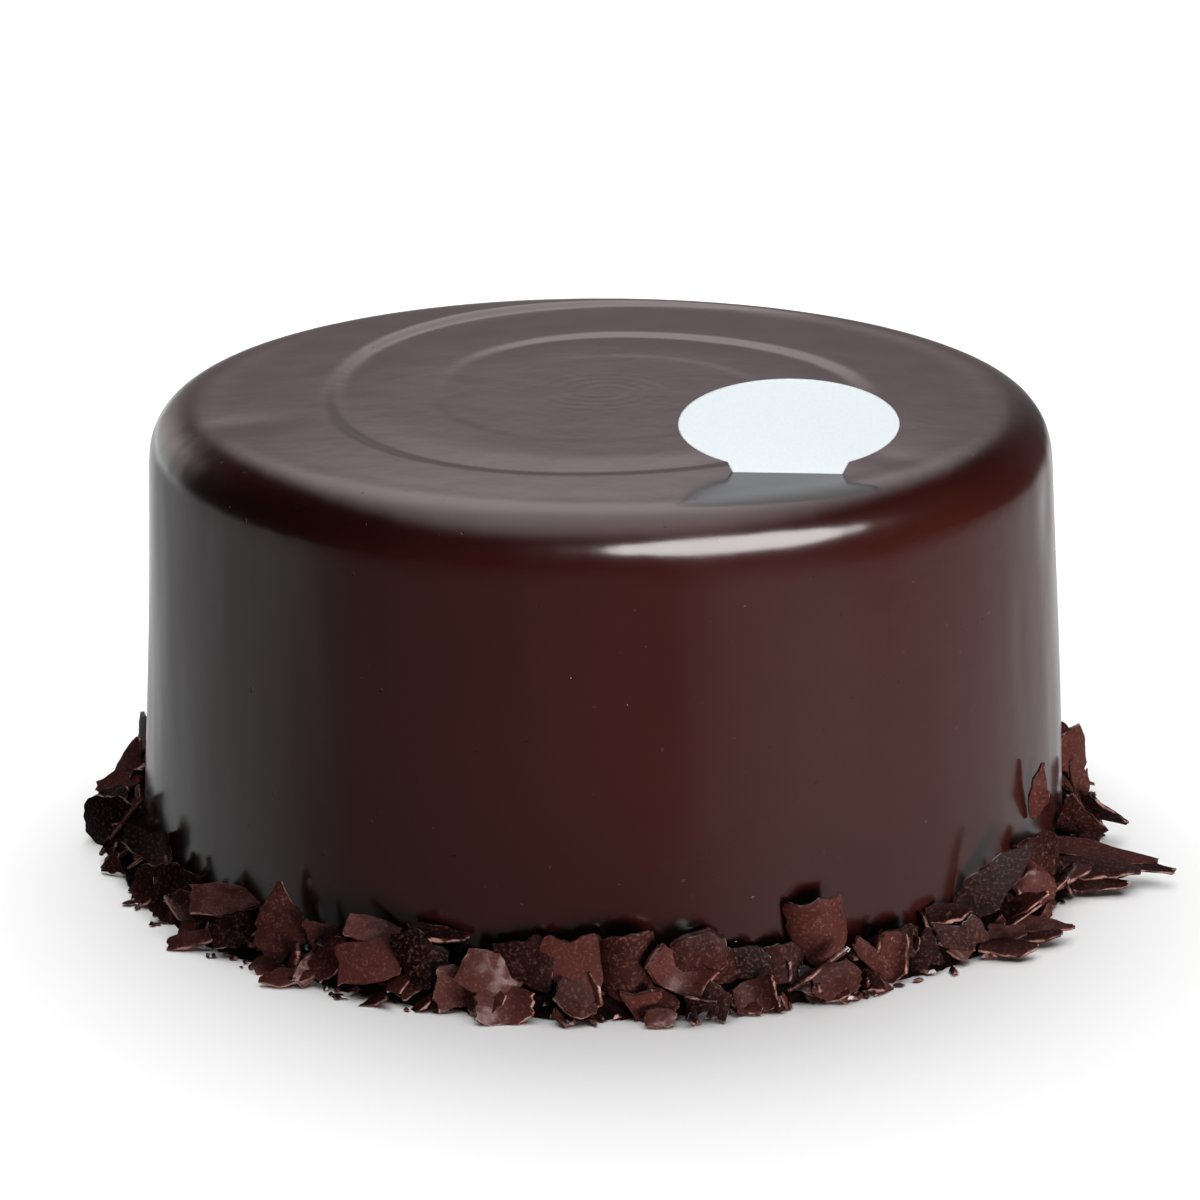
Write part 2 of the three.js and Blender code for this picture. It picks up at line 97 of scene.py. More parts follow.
# The shards that can be told apart: outline, azimuth, out from the wall, up, width, height, azimuth it faces,
# lean of its top towards the cake, tip of its right side upwards, bend, thickness. A bend is the angle its
# width turns through: over 0 the middle stands out, under 0 it is a trough. Sizes in millimetres.
CHOSEN = (
    # left side, seen against the background
    ("slab", 166, 7, 8, 11, 14, 205, 5, 12, 20),
    ("wedge", 173, 6, 8, 12, 14, 220, 10, -8, 30),
    ("splinter", 178, 7, 6.5, 15, 7, 232, 45, 18, 0),
    ("slab", 183, 8, 5, 13, 8, 230, 35, 25, 0),
    ("slab", 189, 8, 6, 14, 11, 235, 12, 8, 20),
    ("strip", 194, 5.6, 8.6, 16, 4, 262, 100, 56, 0, 1.2),
    ("wedge", 198, 8.4, 3, 6, 5, 250, 25, 0, 0),
    ("shield", 205, 4, 10.5, 14, 9, 258, 40, -10, 25),
    ("slab", 209, 6, 5.5, 8, 9, 255, 8, 0, 10),
    ("pipe", 214, 5.5, 6.5, 9, 12, 258, 15, -18, 60),
    ("strip", 223.5, 4, 10.6, 16, 8, 268, 52, 4, 0, 1.6),
    ("splinter", 219, 7, 6.5, 12, 6, 262, 50, -14, -60),
    ("slab", 226, 6.5, 6, 9, 7, 262, 30, 20, 0),
    ("strip", 222, 9.5, 2.5, 13, 4, 266, 60, 16, 0),
    # front, from left to right
    ("teardrop", 233.5, 5.4, 10.5, 12.5, 18, 262, 12, 0, 15),
    ("splinter", 236, 10, 2, 12, 4, 268, 45, 6, 0),
    ("wedge", 238, 4, 10.5, 8, 7, 265, 20, -75, 0),
    ("slab", 240, 6, 6.5, 10, 7, 258, 35, 38, 0),
    ("slab", 245, 7.5, 8, 13, 9, 262, 22, 6, 10),
    ("slab", 244.5, 4, 13.5, 11, 6, 266, 45, -14, 0),
    ("kite", 250.5, 6.5, 10, 12, 13.5, 264, 8, 0, 60),
    ("strip", 252, 3.5, 15, 12, 5, 264, 75, -4, 0, 1.4),
    ("slab", 254.5, 6.5, 5.5, 8, 9, 275, 15, -14, 0),
    ("slab", 258.5, 6, 8.5, 13, 9, 262, 32, -22, 15),
    ("shield", 262, 4.5, 10.5, 12, 12, 264, 22, 14, 10),
    ("slab", 260, 8.5, 2.8, 12, 7.5, 268, 38, 0, -50),
    ("shield", 267, 5, 10.8, 14, 14, 268, 15, -4, 20),
    ("slab", 267.5, 8, 5, 9, 7, 270, 50, -28, 0),
    ("pipe", 272.5, 6.5, 11.2, 13.5, 13, 271, 4, 0, 140),
    ("wedge", 274, 8, 3.6, 8, 7, 272, 10, 180, 30),
    ("slab", 275.8, 10.5, 1.8, 6, 4, 270, 40, 0, 0),
    ("pipe", 277.8, 6.5, 9.5, 14, 8, 266, 32, -34, -90),
    ("slab", 280.5, 4, 12.5, 11, 9, 274, 12, 6, 0, 5),
    ("wedge", 283, 5, 8.5, 9, 8, 278, 20, -130, 20),
    ("kite", 281, 9.5, 4.4, 8.5, 9.5, 272, 18, 18, 10),
    ("wedge", 279.6, 9.8, 3.2, 6, 7, 268, 30, 165, 0),
    ("pipe", 286, 7, 3.3, 10.2, 7, 274, 22, 14, -100),
    ("slab", 285.2, 4, 9.5, 11, 7.5, 276, 15, -8, 10),
    ("slab", 289.6, 4.5, 8.3, 9, 8.5, 278, 15, 0, 45),
    ("curl", 293.7, 5, 14.3, 13.2, 14.5, 278, 4, 6, 100),
    ("strip", 292.9, 8.3, 7.6, 14.5, 3.2, 270, 108, 37, 0, 1.1),
    ("slab", 294.8, 8.5, 4.8, 10, 7.4, 276, 18, 4, 0),
    ("strip", 299.8, 6.5, 7, 11, 3.4, 276, 15, -48, 0),
    ("pipe", 299.4, 7.5, 3, 6, 5.5, 276, 60, 0, 130),
    ("slab", 302.6, 4.8, 5.8, 8, 11.4, 284, 8, -12, -120),
    ("slab", 305.1, 4.2, 7, 6, 7.5, 286, 14, 0, 0),
    ("wedge", 307.3, 6, 5.6, 6.8, 9.2, 282, 12, 0, 0),
    ("kite", 310.9, 6, 5.3, 10, 7.4, 284, 20, -18, 0),
    ("strip", 312, 3.5, 10, 9.5, 5, 284, 70, 2, 0, 1.4),
    ("slab", 314.3, 6.5, 5.4, 5, 7, 290, 20, 20, 0),
    ("splinter", 318.2, 5.6, 13.6, 24, 9.4, 292, 30, 36, 30),
    ("strip", 321, 6.5, 5.5, 13.5, 5.7, 275, 60, 25, 0),
    ("splinter", 321.8, 7.6, 7, 13, 5.2, 268, 60, 32, 0),
    ("strip", 317.6, 8, 3.4, 11, 5.5, 270, 50, 10, 0),
    ("splinter", 321.8, 11.6, 3.9, 16, 5, 266, 66, -3, 0),
    ("strip", 320.8, 12.5, 2.5, 12, 4.5, 266, 70, 3, 0),
    ("strip", 316.4, 12.5, 2.2, 12, 5, 266, 72, -2, 0),
    ("slab", 326, 7, 8, 8, 8, 292, 15, 30, 40),
    ("strip", 331.6, 7.6, 6, 10.5, 2.4, 275, 60, 45, 0, 1.3),
    ("strip", 328.5, 5, 8.5, 12, 6, 300, 40, -30, 0),
    ("wedge", 331, 4, 13.4, 14, 8.5, 296, 20, -42, 0),
    # right side
    ("strip", 334.5, 6, 5, 13, 6, 280, 65, 10, 0),
    ("strip", 340.8, 11.8, 6.5, 24, 5.4, 265, 66, -9, 0),
    ("strip", 338.3, 12, 4.6, 18, 6, 265, 68, -2, 0),
    ("splinter", 340.6, 16, 5, 23, 4.8, 265, 66, -7, 0),
    ("strip", 336.7, 12, 2.5, 15, 5, 268, 70, -2, 0),
    ("wedge", 344.5, 4.4, 10.2, 13.4, 8, 292, 24, 130, 15),
    ("wedge", 353, 8.4, 6.6, 12.5, 8, 285, 55, 140, 0),
    ("strip", 353, 4.5, 13, 4, 12, 290, 4, 8, 0),
    ("slab", 9, 7.5, 9.4, 10, 12, 318, 8, -6, 20),
    ("kite", 15, 7.6, 7.5, 10, 13, 322, 18, 10, 0),
    ("kite", 11.6, 8, 3.8, 7, 8, 318, 20, -30, 0),
    ("wedge", 21, 9, 10, 11, 12, 330, 10, 0, 20),
)

# The rest of the heap, in rows: how many shards, the azimuths they are spread over, the ranges of the
# distance out from the wall, the height of the centre, the width and the height, the most turn to either
# side, the range of the lean, the most tip to either side, and the range of the bend
ROWS = (
    (18, (26, 160), (3, 5.5), (8, 11), (9, 15), (9, 15), 30, (5, 35), 40, (-60, 90)),
    (20, (18, 168), (6.2, 8.4), (3.5, 5.8), (8, 14), (7, 12), 45, (30, 72), 30, (-40, 40)),
    (17, (165, 382), (5, 8), (3, 4.5), (7, 10), (6, 8), 40, (15, 60), 40, (-30, 40)),
)
ROW_SEED = 4177
# The shard that sticks to the wall, given like the chosen ones
WALL_SHARD = ("splinter", 332.7, 2.3, 24.8, 12.5, 4.8, 282, 0, 82, 30)
WALL_SHARD_SEED = 900
# The small shards' ranges: out from the wall and up from the core, then width, height, turn, lean, tip, bend
# and thickness
FRAGMENT_OUT, FRAGMENT_UP = (1.2, 9.5), (0.8, 2.6)
FRAGMENT_RANGES = ((3.5, 7.5), (2.5, 5.5), (-70, 70), (0, 80), (-90, 90), (-50, 60), (0.8, 1.3))
FRAGMENT_SEED = 61
FRAGMENT_FIRST_SEED = 2000
SLOPE_END_MM = 8  # where the slope under the small shards meets the ground, out from the wall
# How ragged a shard is: its upper and lower edges and its sides, as shares of half its size, and its faces
# and its broken rim, in millimetres
EDGE_ROUGH, SIDE_ROUGH = 0.1, 0.08
FACE_DENT_MM, RIM_OUT_MM, RIM_ROUGH_MM = 0.035, 0.05, 0.16
# How much a shard thins towards its edges, as a share of its thickness
THINNING = 0.12
# How broken a shard is round its front and all over its back, and a crumb all over. The broken edge is 1.
BROKEN_RIM, BROKEN_CRUMB = 0.35, 0.55
# Edges that turn by more than this stay crisp, in radians
CRISP_SHARD, CRISP_CRUMB, CRISP_TAG = math.radians(38), 0.3, math.radians(25)
# Gaps that keep the heap off the cake's wall and off the ground
WALL_GAP, GROUND_GAP = 0.1 * MM, 0.05 * MM
CORE_SEED, CRUMB_SEED = 11, 23
# The core's section: shares of the way from its top to its foot, and there of its reach and of its height
CORE_WAY, CORE_REACH, CORE_HEIGHT = (0, 0.15, 0.6, 1), (-0.3, 0.15, 0.85, 1), (1, 1, 0.55, 0)
# How much its reach and height swell and shrink, as a share, and the size of its lumps
CORE_SWELL, CORE_LUMP_MM = 0.1, 0.5
# The crumbs: the ranges of the distance out from the wall, of the size and of how far one is drawn out, and
# how much the corners are jittered, as a share of the size
CRUMB_OUT_MM, CRUMB_SIZE_MM, CRUMB_DRAWN_OUT, CRUMB_JITTER = (2.5, 10.5), (0.5, 1.7), (0.8, 2.2), 0.28
# A crumb before it is jittered: the lower ring's corners, the upper ring's share and height, and both ends
CRUMB_RING = (
    (1, 0, 0),
    (0.4, 0.8, 0.1),
    (-0.6, 0.7, -0.1),
    (-1, -0.1, 0.1),
    (-0.3, -0.8, 0),
    (0.6, -0.7, 0.1),
)
UPPER_SHARE, UPPER_HEIGHT = (0.7, 0.6, 1), (0, 0, 0.6)
CRUMB_ENDS = ((0, 0, -0.35), (0.1, 0, 0.95))


def length(name, description, millimetres):
    """A length, whose default is given in millimetres."""
    return FloatProperty(name=name, description=description, default=millimetres * MM, unit="LENGTH")


def number(name, description, default, **limits):
    """A plain number, such as a share or a brightness."""
    return FloatProperty(name=name, description=description, default=default, **limits)


def spot(name, description, default):
    """A place in metres."""
    return FloatVectorProperty(
        name=name, description=description, default=default, subtype="TRANSLATION", size=len(default)
    )


def paint(name, description, default):
    """A colour in linear light."""
    return FloatVectorProperty(
        name=name, description=description, default=default, subtype="COLOR", size=3, min=0, max=1
    )


class CakeSizes(PropertyGroup):
    """The glazed cake."""

    height: length("Height", "Of the top's plane over the base", 101.8)
    base_radius: length("Base radius", "At the foot of the wall", 105.8)
    shoulder_radius: length("Shoulder radius", "Where the wall's line would meet the top", 100)
    edge_radius: length("Edge radius", "Of the glaze's round shoulder", 11)
    edge_soft: length("Edge softness", "How far the shoulder's ends are eased, along the section", 4)
    swirl_radius: length("Swirl radius", "Of the spatula's spiral at the swirl azimuth", 40)
    swirl_azimuth: number("Swirl azimuth", "Where the swirl radius is measured, in degrees", 282)
    swirl_growth: number("Swirl growth", "From one turn of the spiral to the next", 1.64)
    swirl_squeeze: number("Swirl squeeze", "How far the spiral is pressed in on its left", 0.21)
    squeeze_azimuth: number("Squeeze azimuth", "Where the spiral is pressed in, in degrees", 171)
    swirl_depth: number("Swirl depth", "Of a step, as a share of its radius", 0.0145)
    swirl_step: length("Swirl step", "Width of the rise between two turns", 2.6)
    swirl_full: length("Swirl full", "Radius from which it has its full depth", 70)
    swirl_start: number("Swirl start", "Where it begins, as a share of the radius of its full depth", 0.3)
    front_share: number("Front share", "Share of the inner turns' depth left on the viewer's side", 0.15)
    inner_from: length("Inner from", "Radius up to which a turn is an inner one", 48)
    inner_to: length("Inner to", "Radius from which a turn isn't an inner one", 60)
    fade_from: length("Fade from", "Radius where the swirl starts to die out", 80)
    fade_to: length("Fade to", "Radius where the swirl has died out", 93)
    colour: paint("Glaze", "Colour of the glaze", (0.0375, 0.0067, 0.005))
    roughness: number("Roughness", "Of the glaze", 0.19, min=0, max=1)


class ShardSizes(PropertyGroup):
    """The broken chocolate."""

    thinnest: length("Thinnest", "Least thickness of a shard", 0.9)
    thickest: length("Thickest", "Most thickness of a shard", 1.5)
    jitter: number("Outline jitter", "Of an outline's corners, as a share of half a shard", 0.15)
    core_out: length("Core reach", "How far the heap's core reaches from the wall", 6)
    core_up: length("Core height", "Of the heap's core", 7.2)
    crumbs: IntProperty(name="Crumbs", description="How many crumbs lie between the shards", default=240)
    fragments: IntProperty(name="Fragments", description="How many small shards fill the gaps", default=190)
    face_colour: paint("Face", "Colour of a shard's face", (0.040, 0.0108, 0.0086))
    edge_colour: paint("Broken edge", "Colour where a shard is broken or scraped", (0.38, 0.20, 0.165))
    fleck_colour: paint("Fleck", "Colour of the small pale flecks on a shard", (0.48, 0.30, 0.23))


class TagSizes(PropertyGroup):
    """The white tag."""

    width: length("Width", "Of the oval", 45.4)
    oval_height: length("Oval height", "Of the oval", 19.1)
    thick: length("Thickness", "Of the card", 1)
    oval_up: length("Oval up", "The oval's centre above the glaze", 10.4)
    shoulder: length("Foot top", "Width where the foot leaves the oval", 25)
    foot: length("Foot width", "Width of the foot at the glaze", 22.6)
    sunk: length("Sunk", "How deep the foot stands in the cake", 4)
    place: spot("Place", "Of the tag's foot on the top", (0.0383, -0.066))
    colour: paint("Card", "Colour of the card", (0.80, 0.87, 0.90))


class StageSettings(PropertyGroup):
    """Floor, lights and camera."""

    floor_size: FloatProperty(name="Floor", description="Side of the floor", default=12, unit="LENGTH")
    floor_colour: paint("Floor colour", "Colour of the floor", (0.85, 0.85, 0.85))
    ceiling_light: number("Ceiling light", "Brightness of the large soft box overhead", 1.9)
    floor_light: number("Floor light", "Brightness of the soft box that lights only the floor", 2.4)
    ceiling_gloss: number("Ceiling gloss", "Brightness of the ceiling that gloss mirrors", 1.25)
    ceiling_colour: paint("Ceiling colour", "Colour of the ceiling that gloss mirrors", (1, 0.88, 0.92))
    key_light: number("Key light", "Brightness of the soft box at the front right", 17)
    key_gloss: number("Key gloss", "Brightness of the lamp there that gloss mirrors", 14.5)
    tag_light: number("Tag light", "Brightness of the soft box that lights only the tag", 22)
    heap_light: number("Heap light", "Brightness of the soft box at the left, only for the shards", 3)
    fill: number("Fill", "Brightness of the light from all round", 0.06)
    lens: FloatProperty(
        name="Lens", description="Focal length for a sensor 36 mm wide", default=108.4, unit="CAMERA"
    )
    camera_place: spot("Camera place", "Where the camera stands", (-0.0004, -0.7815, 0.308))
    camera_pitch: FloatProperty(
        name="Camera pitch",
        description="How far the camera looks down",
        default=math.radians(18.09),
        subtype="ANGLE",
    )


class Wire:
    """An output of a material's node. Arithmetic on wires, or on a wire and a number, adds Math nodes."""

    def __init__(self, tree, socket):
        self.tree = tree
        self.socket = socket

    def node(self, kind, settings=None, inputs=None, output=0):
        """A new node in the same material: its settings first, then the values or wires of its sockets."""
        return add_node(self.tree, kind, settings, inputs, output)

    def math(self, operation, *values):
        """A Math node with that operation on these values."""
        return self.node("ShaderNodeMath", {"operation": operation}, dict(enumerate(values)))

    def __add__(self, other):
        return self.math("ADD", self, other)

    __radd__ = __add__

    def __sub__(self, other):
        return self.math("SUBTRACT", self, other)

    def __rsub__(self, other):
        return self.math("SUBTRACT", other, self)

    def __mul__(self, other):
        return self.math("MULTIPLY", self, other)

    def between(self, low, high):
        """0 below low, 1 above high and a smooth step from one to the other."""
        return self.node(
            "ShaderNodeMapRange",
            {"interpolation_type": "SMOOTHSTEP"},
            {"Value": self, "From Min": low, "From Max": high},
        )


def add_node(tree, kind, settings=None, inputs=None, output=0):
    """Adds a node, sets its settings, gives its sockets their values or links, and returns an output."""
    node = tree.nodes.new(kind)
    for name, value in (settings or {}).items():
        setattr(node, name, value)
    for key, value in (inputs or {}).items():
        socket = node.inputs[key]
        if isinstance(value, Wire):
            tree.links.new(value.socket, socket)
        elif socket.type == "RGBA":
            socket.default_value = (*value, 1)
        else:
            socket.default_value = value
    return Wire(tree, node.outputs[output]) if node.outputs else None


def new_material(name):
    """A material with no nodes yet, its tree, and a wire that carries the object's own coordinates."""
    material = bpy.data.materials.new(name)
    material.use_nodes = True
    tree = material.node_tree
    tree.nodes.clear()
    return material, tree, add_node(tree, "ShaderNodeTexCoord", output="Object")


def mix_colours(share, first, second):
    """first where share is 0, second where it is 1."""
    return add_node(
        share.tree,
        "ShaderNodeMix",
        {"data_type": "RGBA"},
        {"Factor": share, 6: first, 7: second},
        output=2,
    )


def shade(colour, share):
    """A colour made darker, or paler with a share over 1."""
    return tuple(share * part for part in colour)


def noise(place, size, detail=2, roughness=0.5, stretch=(1, 1, 1)):
    """Noise from 0 to 1 of about that size, its grains longer along an axis where stretch is over 1."""
    scaled = place.node(
        "ShaderNodeMapping",
        inputs={"Vector": place, "Scale": tuple(1 / s for s in stretch)},
    )
    return scaled.node(
        "ShaderNodeTexNoise",
        inputs={"Vector": scaled, "Scale": 1 / size, "Detail": detail, "Roughness": roughness},
    )


def bump(height, depth, under=None):
    """A normal from a height of 0 to 1 that stands depth high, over another normal if one is given."""
    inputs = {"Height": height, "Distance": depth}
    if under is not None:
        inputs["Normal"] = under
    return height.node("ShaderNodeBump", inputs=inputs)


def finish_material(tree, **sockets):
    """Joins a Principled BSDF with these sockets to the material's output."""
    named = {name.replace("_", " "): value for name, value in sockets.items()}
    shader = add_node(tree, "ShaderNodeBsdfPrincipled", inputs=named)
    add_node(tree, "ShaderNodeOutputMaterial", inputs={"Surface": shader})


def glaze_material(sizes):
    """Dark glossy glaze, a little cloudy in colour and gloss, with painted shade that darkens it towards the
    foot of the wall, and with pits and specks.
    """
    material, tree, place = new_material("glaze")
    clouds = noise(place, 30 * MM, detail=3).between(0.3, 0.7)
    colour = mix_colours(clouds, shade(sizes.colour, 0.94), shade(sizes.colour, 1.06))
    height = add_node(tree, "ShaderNodeSeparateXYZ", inputs={"Vector": place}, output="Z")
    # Painted shade: the glaze's colour is darkened towards the foot of the wall, for the shade that falls low
    # on the wall near the heap.
    colour = mix_colours(height.between(8 * MM, 55 * MM), shade(sizes.colour, 0.68), colour)
    specks = noise(place, 1.6 * MM, detail=1).between(0.78, 0.82)
    speck_colour = (0.09, 0.05, 0.04)
    colour = mix_colours(specks * 0.4, colour, speck_colour)
    smear = noise(place, 12 * MM, detail=2, stretch=(1, 1, 3))
    pits = noise(place, 1.5 * MM, detail=0).between(0.84, 0.9)
    uneven = bump(noise(place, 9 * MM, detail=2), 0.09 * MM)
    finish_material(
        tree,
        Base_Color=colour,
        Roughness=(smear - 0.5) * 0.10 + sizes.roughness,
        IOR=1.5,
        Normal=bump(1 - pits, 0.06 * MM, uneven),
    )
    return material


def chocolate_material(sizes):
    """Broken chocolate: each shard has its own tone, with scrape lines, dust and a few pale flecks. It is
    paler and rougher where it is broken, glints along its rims, and the paler shards have a slight shine."""
    material, tree, place = new_material("broken chocolate")
    broken, tone = (
        add_node(tree, "ShaderNodeAttribute", {"attribute_name": label}, output="Fac")
        for label in ("broken", "tone")
    )
    along = add_node(tree, "ShaderNodeUVMap", {"uv_map": "scrape"})
    lines = noise(along, 50 * MM, detail=3, stretch=(14, 1, 1))
    grain = noise(place, 0.7 * MM, detail=3, roughness=0.6)
    patches = noise(place, 2.8 * MM, detail=3)
    dust = grain.between(0.5, 0.75)
    bare = (broken * 0.8 + (patches - 0.5) * 2).between(0.45, 0.9)
    own = (tone * 0.7 + patches * 0.4).between(0.15, 0.85)
    face = mix_colours(own, shade(sizes.face_colour, 0.12), shade(sizes.face_colour, 1.85))
    colour = mix_colours(bare * 0.9 + dust * 0.2, face, sizes.edge_colour)
    flecks = noise(place, 0.6 * MM, detail=2).between(0.69, 0.78) * tone.between(0.2, 1)
    flecks = flecks * noise(place, 5 * MM, detail=1).between(0.5, 0.66)
    glints = broken.between(0.18, 0.4) * noise(place, 4 * MM, detail=1).between(0.48, 0.54)
    shine = tone.between(0.6, 0.9) * patches.between(0.4, 0.6)
    scraped = bump(lines, 0.12 * MM)
    crumbly = bump(grain * (0.3 + bare), 0.16 * MM, scraped)
    finish_material(
        tree,
        Base_Color=mix_colours(flecks, colour, sizes.fleck_colour),
        Roughness=0.45 + bare * 0.25 + (patches - 0.5) * 0.25,
        IOR=1.5,
        Specular_IOR_Level=0.04,
        Coat_Weight=glints * 0.8 + shine * 0.22,
        Coat_Roughness=0.22,
        Normal=bump(patches, 0.14 * MM, crumbly),
    )
    return material


def painted_shade_core_material(sizes):
    """The crumbly chocolate in the depth of the heap, coloured far darker than a shard as painted shade for
    the shaded gaps between the shards.
    """
    material, tree, place = new_material("heap core")
    lumps = noise(place, 2 * MM, detail=4, roughness=0.65)
    # Painted shade: both colours are a small share of a shard's face colour, so the core reads as the shade
    # deep in the heap.
    deep, pale = shade(sizes.face_colour, 0.04), shade(sizes.face_colour, 0.3)
    finish_material(
        tree,
        Base_Color=mix_colours(lumps.between(0.4, 0.75), deep, pale),
        Roughness=0.7,
        IOR=1.5,
        Specular_IOR_Level=0.02,
        Normal=bump(lumps, 1 * MM),
    )
    return material


def card_material(sizes):
    """Smooth coated card with a faint fibre grain."""
    material, tree, place = new_material("card")
    fibres = noise(place, 0.7 * MM, detail=3)
    finish_material(
        tree,
        Base_Color=mix_colours(fibres.between(0.3, 0.7), shade(sizes.colour, 0.97), sizes.colour),
        Roughness=0.45 + (fibres - 0.5) * 0.1,
        IOR=1.45,
        Normal=bump(fibres, 0.02 * MM),
    )
    return material


def floor_material(settings):
    """A plain pale floor."""
    material, tree, place = new_material("floor")
    mottle = noise(place, 0.6, detail=1)
    finish_material(
        tree,
        Base_Color=mix_colours(mottle, shade(settings.floor_colour, 0.985), settings.floor_colour),
        Roughness=0.8,
        Specular_IOR_Level=0,
    )
    return material


def numbers(seed):
    """Repeatable numbers from 0 to 1: a whole number is multiplied and its remainder kept each time."""
    prime, factor = 2147483647, 16807
    state = (seed * 7919 + 13) % prime
    while True:
        state = (state * factor) % prime
        yield state / prime


def within(draw, ends):
    """The next number, between these ends."""
    return ends[0] + (ends[1] - ends[0]) * next(draw)


def either_way(draw, most):
    """The next number, as far as this to either side of 0."""
    return most * (2 * next(draw) - 1)


def smoothstep(values, low, high):
    """0 below low, 1 above high and 3t^2 - 2t^3 between them, t being the share of the way."""
    t = np.clip((values - low) / (high - low), 0, 1)
    return t * t * (3 - 2 * t)


def grid_quads(rows, columns, wrap=False):
    """Corner numbers of the quads of a grid whose points run along the columns first. With wrap, the last
    column joins the first."""
    across = np.arange(columns if wrap else columns - 1)
    down = np.arange(rows - 1)[:, None]
    right = (across + 1) % columns
    here, there = down * columns, (down + 1) * columns
    return np.stack([here + across, here + right, there + right, there + across], -1).reshape(-1, 4)


def end_fans(rings, count):
    """Triangles that close the first and the last ring of a tube, with count points in each ring. The middles
    of both ends come after all rings."""
    ring = np.arange(count)
    after = (ring + 1) % count
    last = (rings - 1) * count
    middle = np.full(count, rings * count)
    first_fan = np.stack([after, ring, middle], -1)
    last_fan = np.stack([last + ring, last + after, middle + 1], -1)
    return np.concatenate([first_fan, last_fan])


def polar(radius, azimuth):
    """x and y of points at that distance and azimuth from the cake's axis."""
    return radius * np.cos(azimuth), radius * np.sin(azimuth)


def wall_radius(share):
    """The cake's radius at a share of its height, on the straight line of its leaning wall."""
    cake = bpy.context.scene.cake_sizes
    return cake.base_radius + (cake.shoulder_radius - cake.base_radius) * share


def new_piece(
    name, points, quads, material, triangles=(), replaced=(), sharp_from=None, layers=None
):
    """A mesh object at the origin from points in metres. An attribute comes from each layer: one number for
    each point, or a pair, which makes a UV map."""
    mesh = bpy.data.meshes.new(name)
    faces = [*np.asarray(quads, int).tolist(), *np.asarray(triangles, int).tolist()]
    mesh.from_pydata(np.asarray(points, float).tolist(), [], faces)
    mesh.validate()
    mesh.materials.append(material)
    mesh.polygons.foreach_set("use_smooth", np.ones(len(mesh.polygons), bool))
    for label, values in (layers or {}).items():
        if np.ndim(values) == 1:
            layer = mesh.attributes.new(label, "FLOAT", "POINT")
            layer.data.foreach_set("value", np.asarray(values, np.float32))
        else:
            corners = np.zeros(len(mesh.loops), np.int32)
            mesh.loops.foreach_get("vertex_index", corners)
            layer = mesh.uv_layers.new(name=label)
            layer.data.foreach_set("uv", np.asarray(values, np.float32)[corners].ravel())
    if sharp_from is not None:
        mesh.set_sharp_from_angle(angle=sharp_from)
    mesh.update()
    piece = bpy.data.objects.new(name, mesh)
    bpy.context.scene.collection.objects.link(piece)
    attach(piece, ROOT)
    if replaced:
        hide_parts(*replaced)


def swirl_height(x, y, sizes):
    """Height of the spatula's spiral at points of the top. The turns of a spiral are the logarithm of the
    radius over its start, to the base of its growth, less the share of a round up to the azimuth. The height
    sinks slowly from one turn to the next and rises over a short step at each whole turn. It is a share of
    the radius that shrinks to nothing towards the centre, more so at the front, and dies out near the rim."""
    radius = np.maximum(np.hypot(x, y), sizes.swirl_step)
    azimuth = np.degrees(np.arctan2(y, x))
    pressed = np.maximum(0, np.cos(np.radians(azimuth - sizes.squeeze_azimuth))) ** 2
    start = sizes.swirl_radius * (1 - sizes.swirl_squeeze * pressed)
    growth = math.log(sizes.swirl_growth)
    turns = np.log(radius / start) / growth - (sizes.swirl_azimuth - azimuth) / 360
    place = turns - np.round(turns)
    step = sizes.swirl_step / (radius * growth)
    least_run = 0.05
    sinking = (np.sign(place) / 2 - place) / np.maximum(1 - step, least_run)
    level = np.where(np.abs(place) < step / 2, place / step, sinking)
    inner = 1 - smoothstep(radius, sizes.inner_from, sizes.inner_to)
    worn = (1 - sizes.front_share) * inner * np.maximum(0, -y / radius)
    grown = smoothstep(radius, sizes.swirl_start * sizes.swirl_full, sizes.swirl_full)
    depth = sizes.swirl_depth * radius * grown * (1 - worn)
    return depth * level * (1 - smoothstep(radius, sizes.fade_from, sizes.fade_to))


def smooth_swirl(x, y, sizes, taps=7):
    """The swirl's height averaged over short moves in and out along the radius, which rounds its edges."""
    reach = 0.8 * sizes.swirl_step
    radius = np.maximum(np.hypot(x, y), 1e-6)
    moves = [1 + reach * (k / (taps - 1) - 0.5) / radius for k in range(taps)]
    return sum(swirl_height(x * m, y * m, sizes) for m in moves) / taps


def middle_curl(azimuth, radius_mm):
    """Height of the fine ripples at the middle of the swirl: a sine along the radius whose crests turn with
    the azimuth, which comes and goes over two stretches of the radius."""
    depth, pitch, arms, coming, going = CURL_MM
    share = smoothstep(radius_mm, *coming) * (1 - smoothstep(radius_mm, *going))
    return depth * MM * share * np.sin(TAU * radius_mm / pitch + arms * azimuth)


def waves(azimuth, z_mm, table):
    """Sum of sine waves round the cake that lean along its height, in metres."""
    return MM * sum(
        depth * np.sin(count * azimuth + lean * z_mm + start) for depth, count, lean, start in table
    )


def presses(azimuth, along_mm, radius_mm, table):
    """Sum of shallow hollows, each a bell curve across and along its place, in metres."""
    total = np.zeros(np.broadcast(azimuth, along_mm).shape)
    for place, along, wide, tall, depth in table:
        turn = (azimuth - math.radians(place) + math.pi) % TAU - math.pi
        total += depth * np.exp(-((turn * radius_mm / wide) ** 2) - ((along_mm - along) / tall) ** 2)
    return MM * total


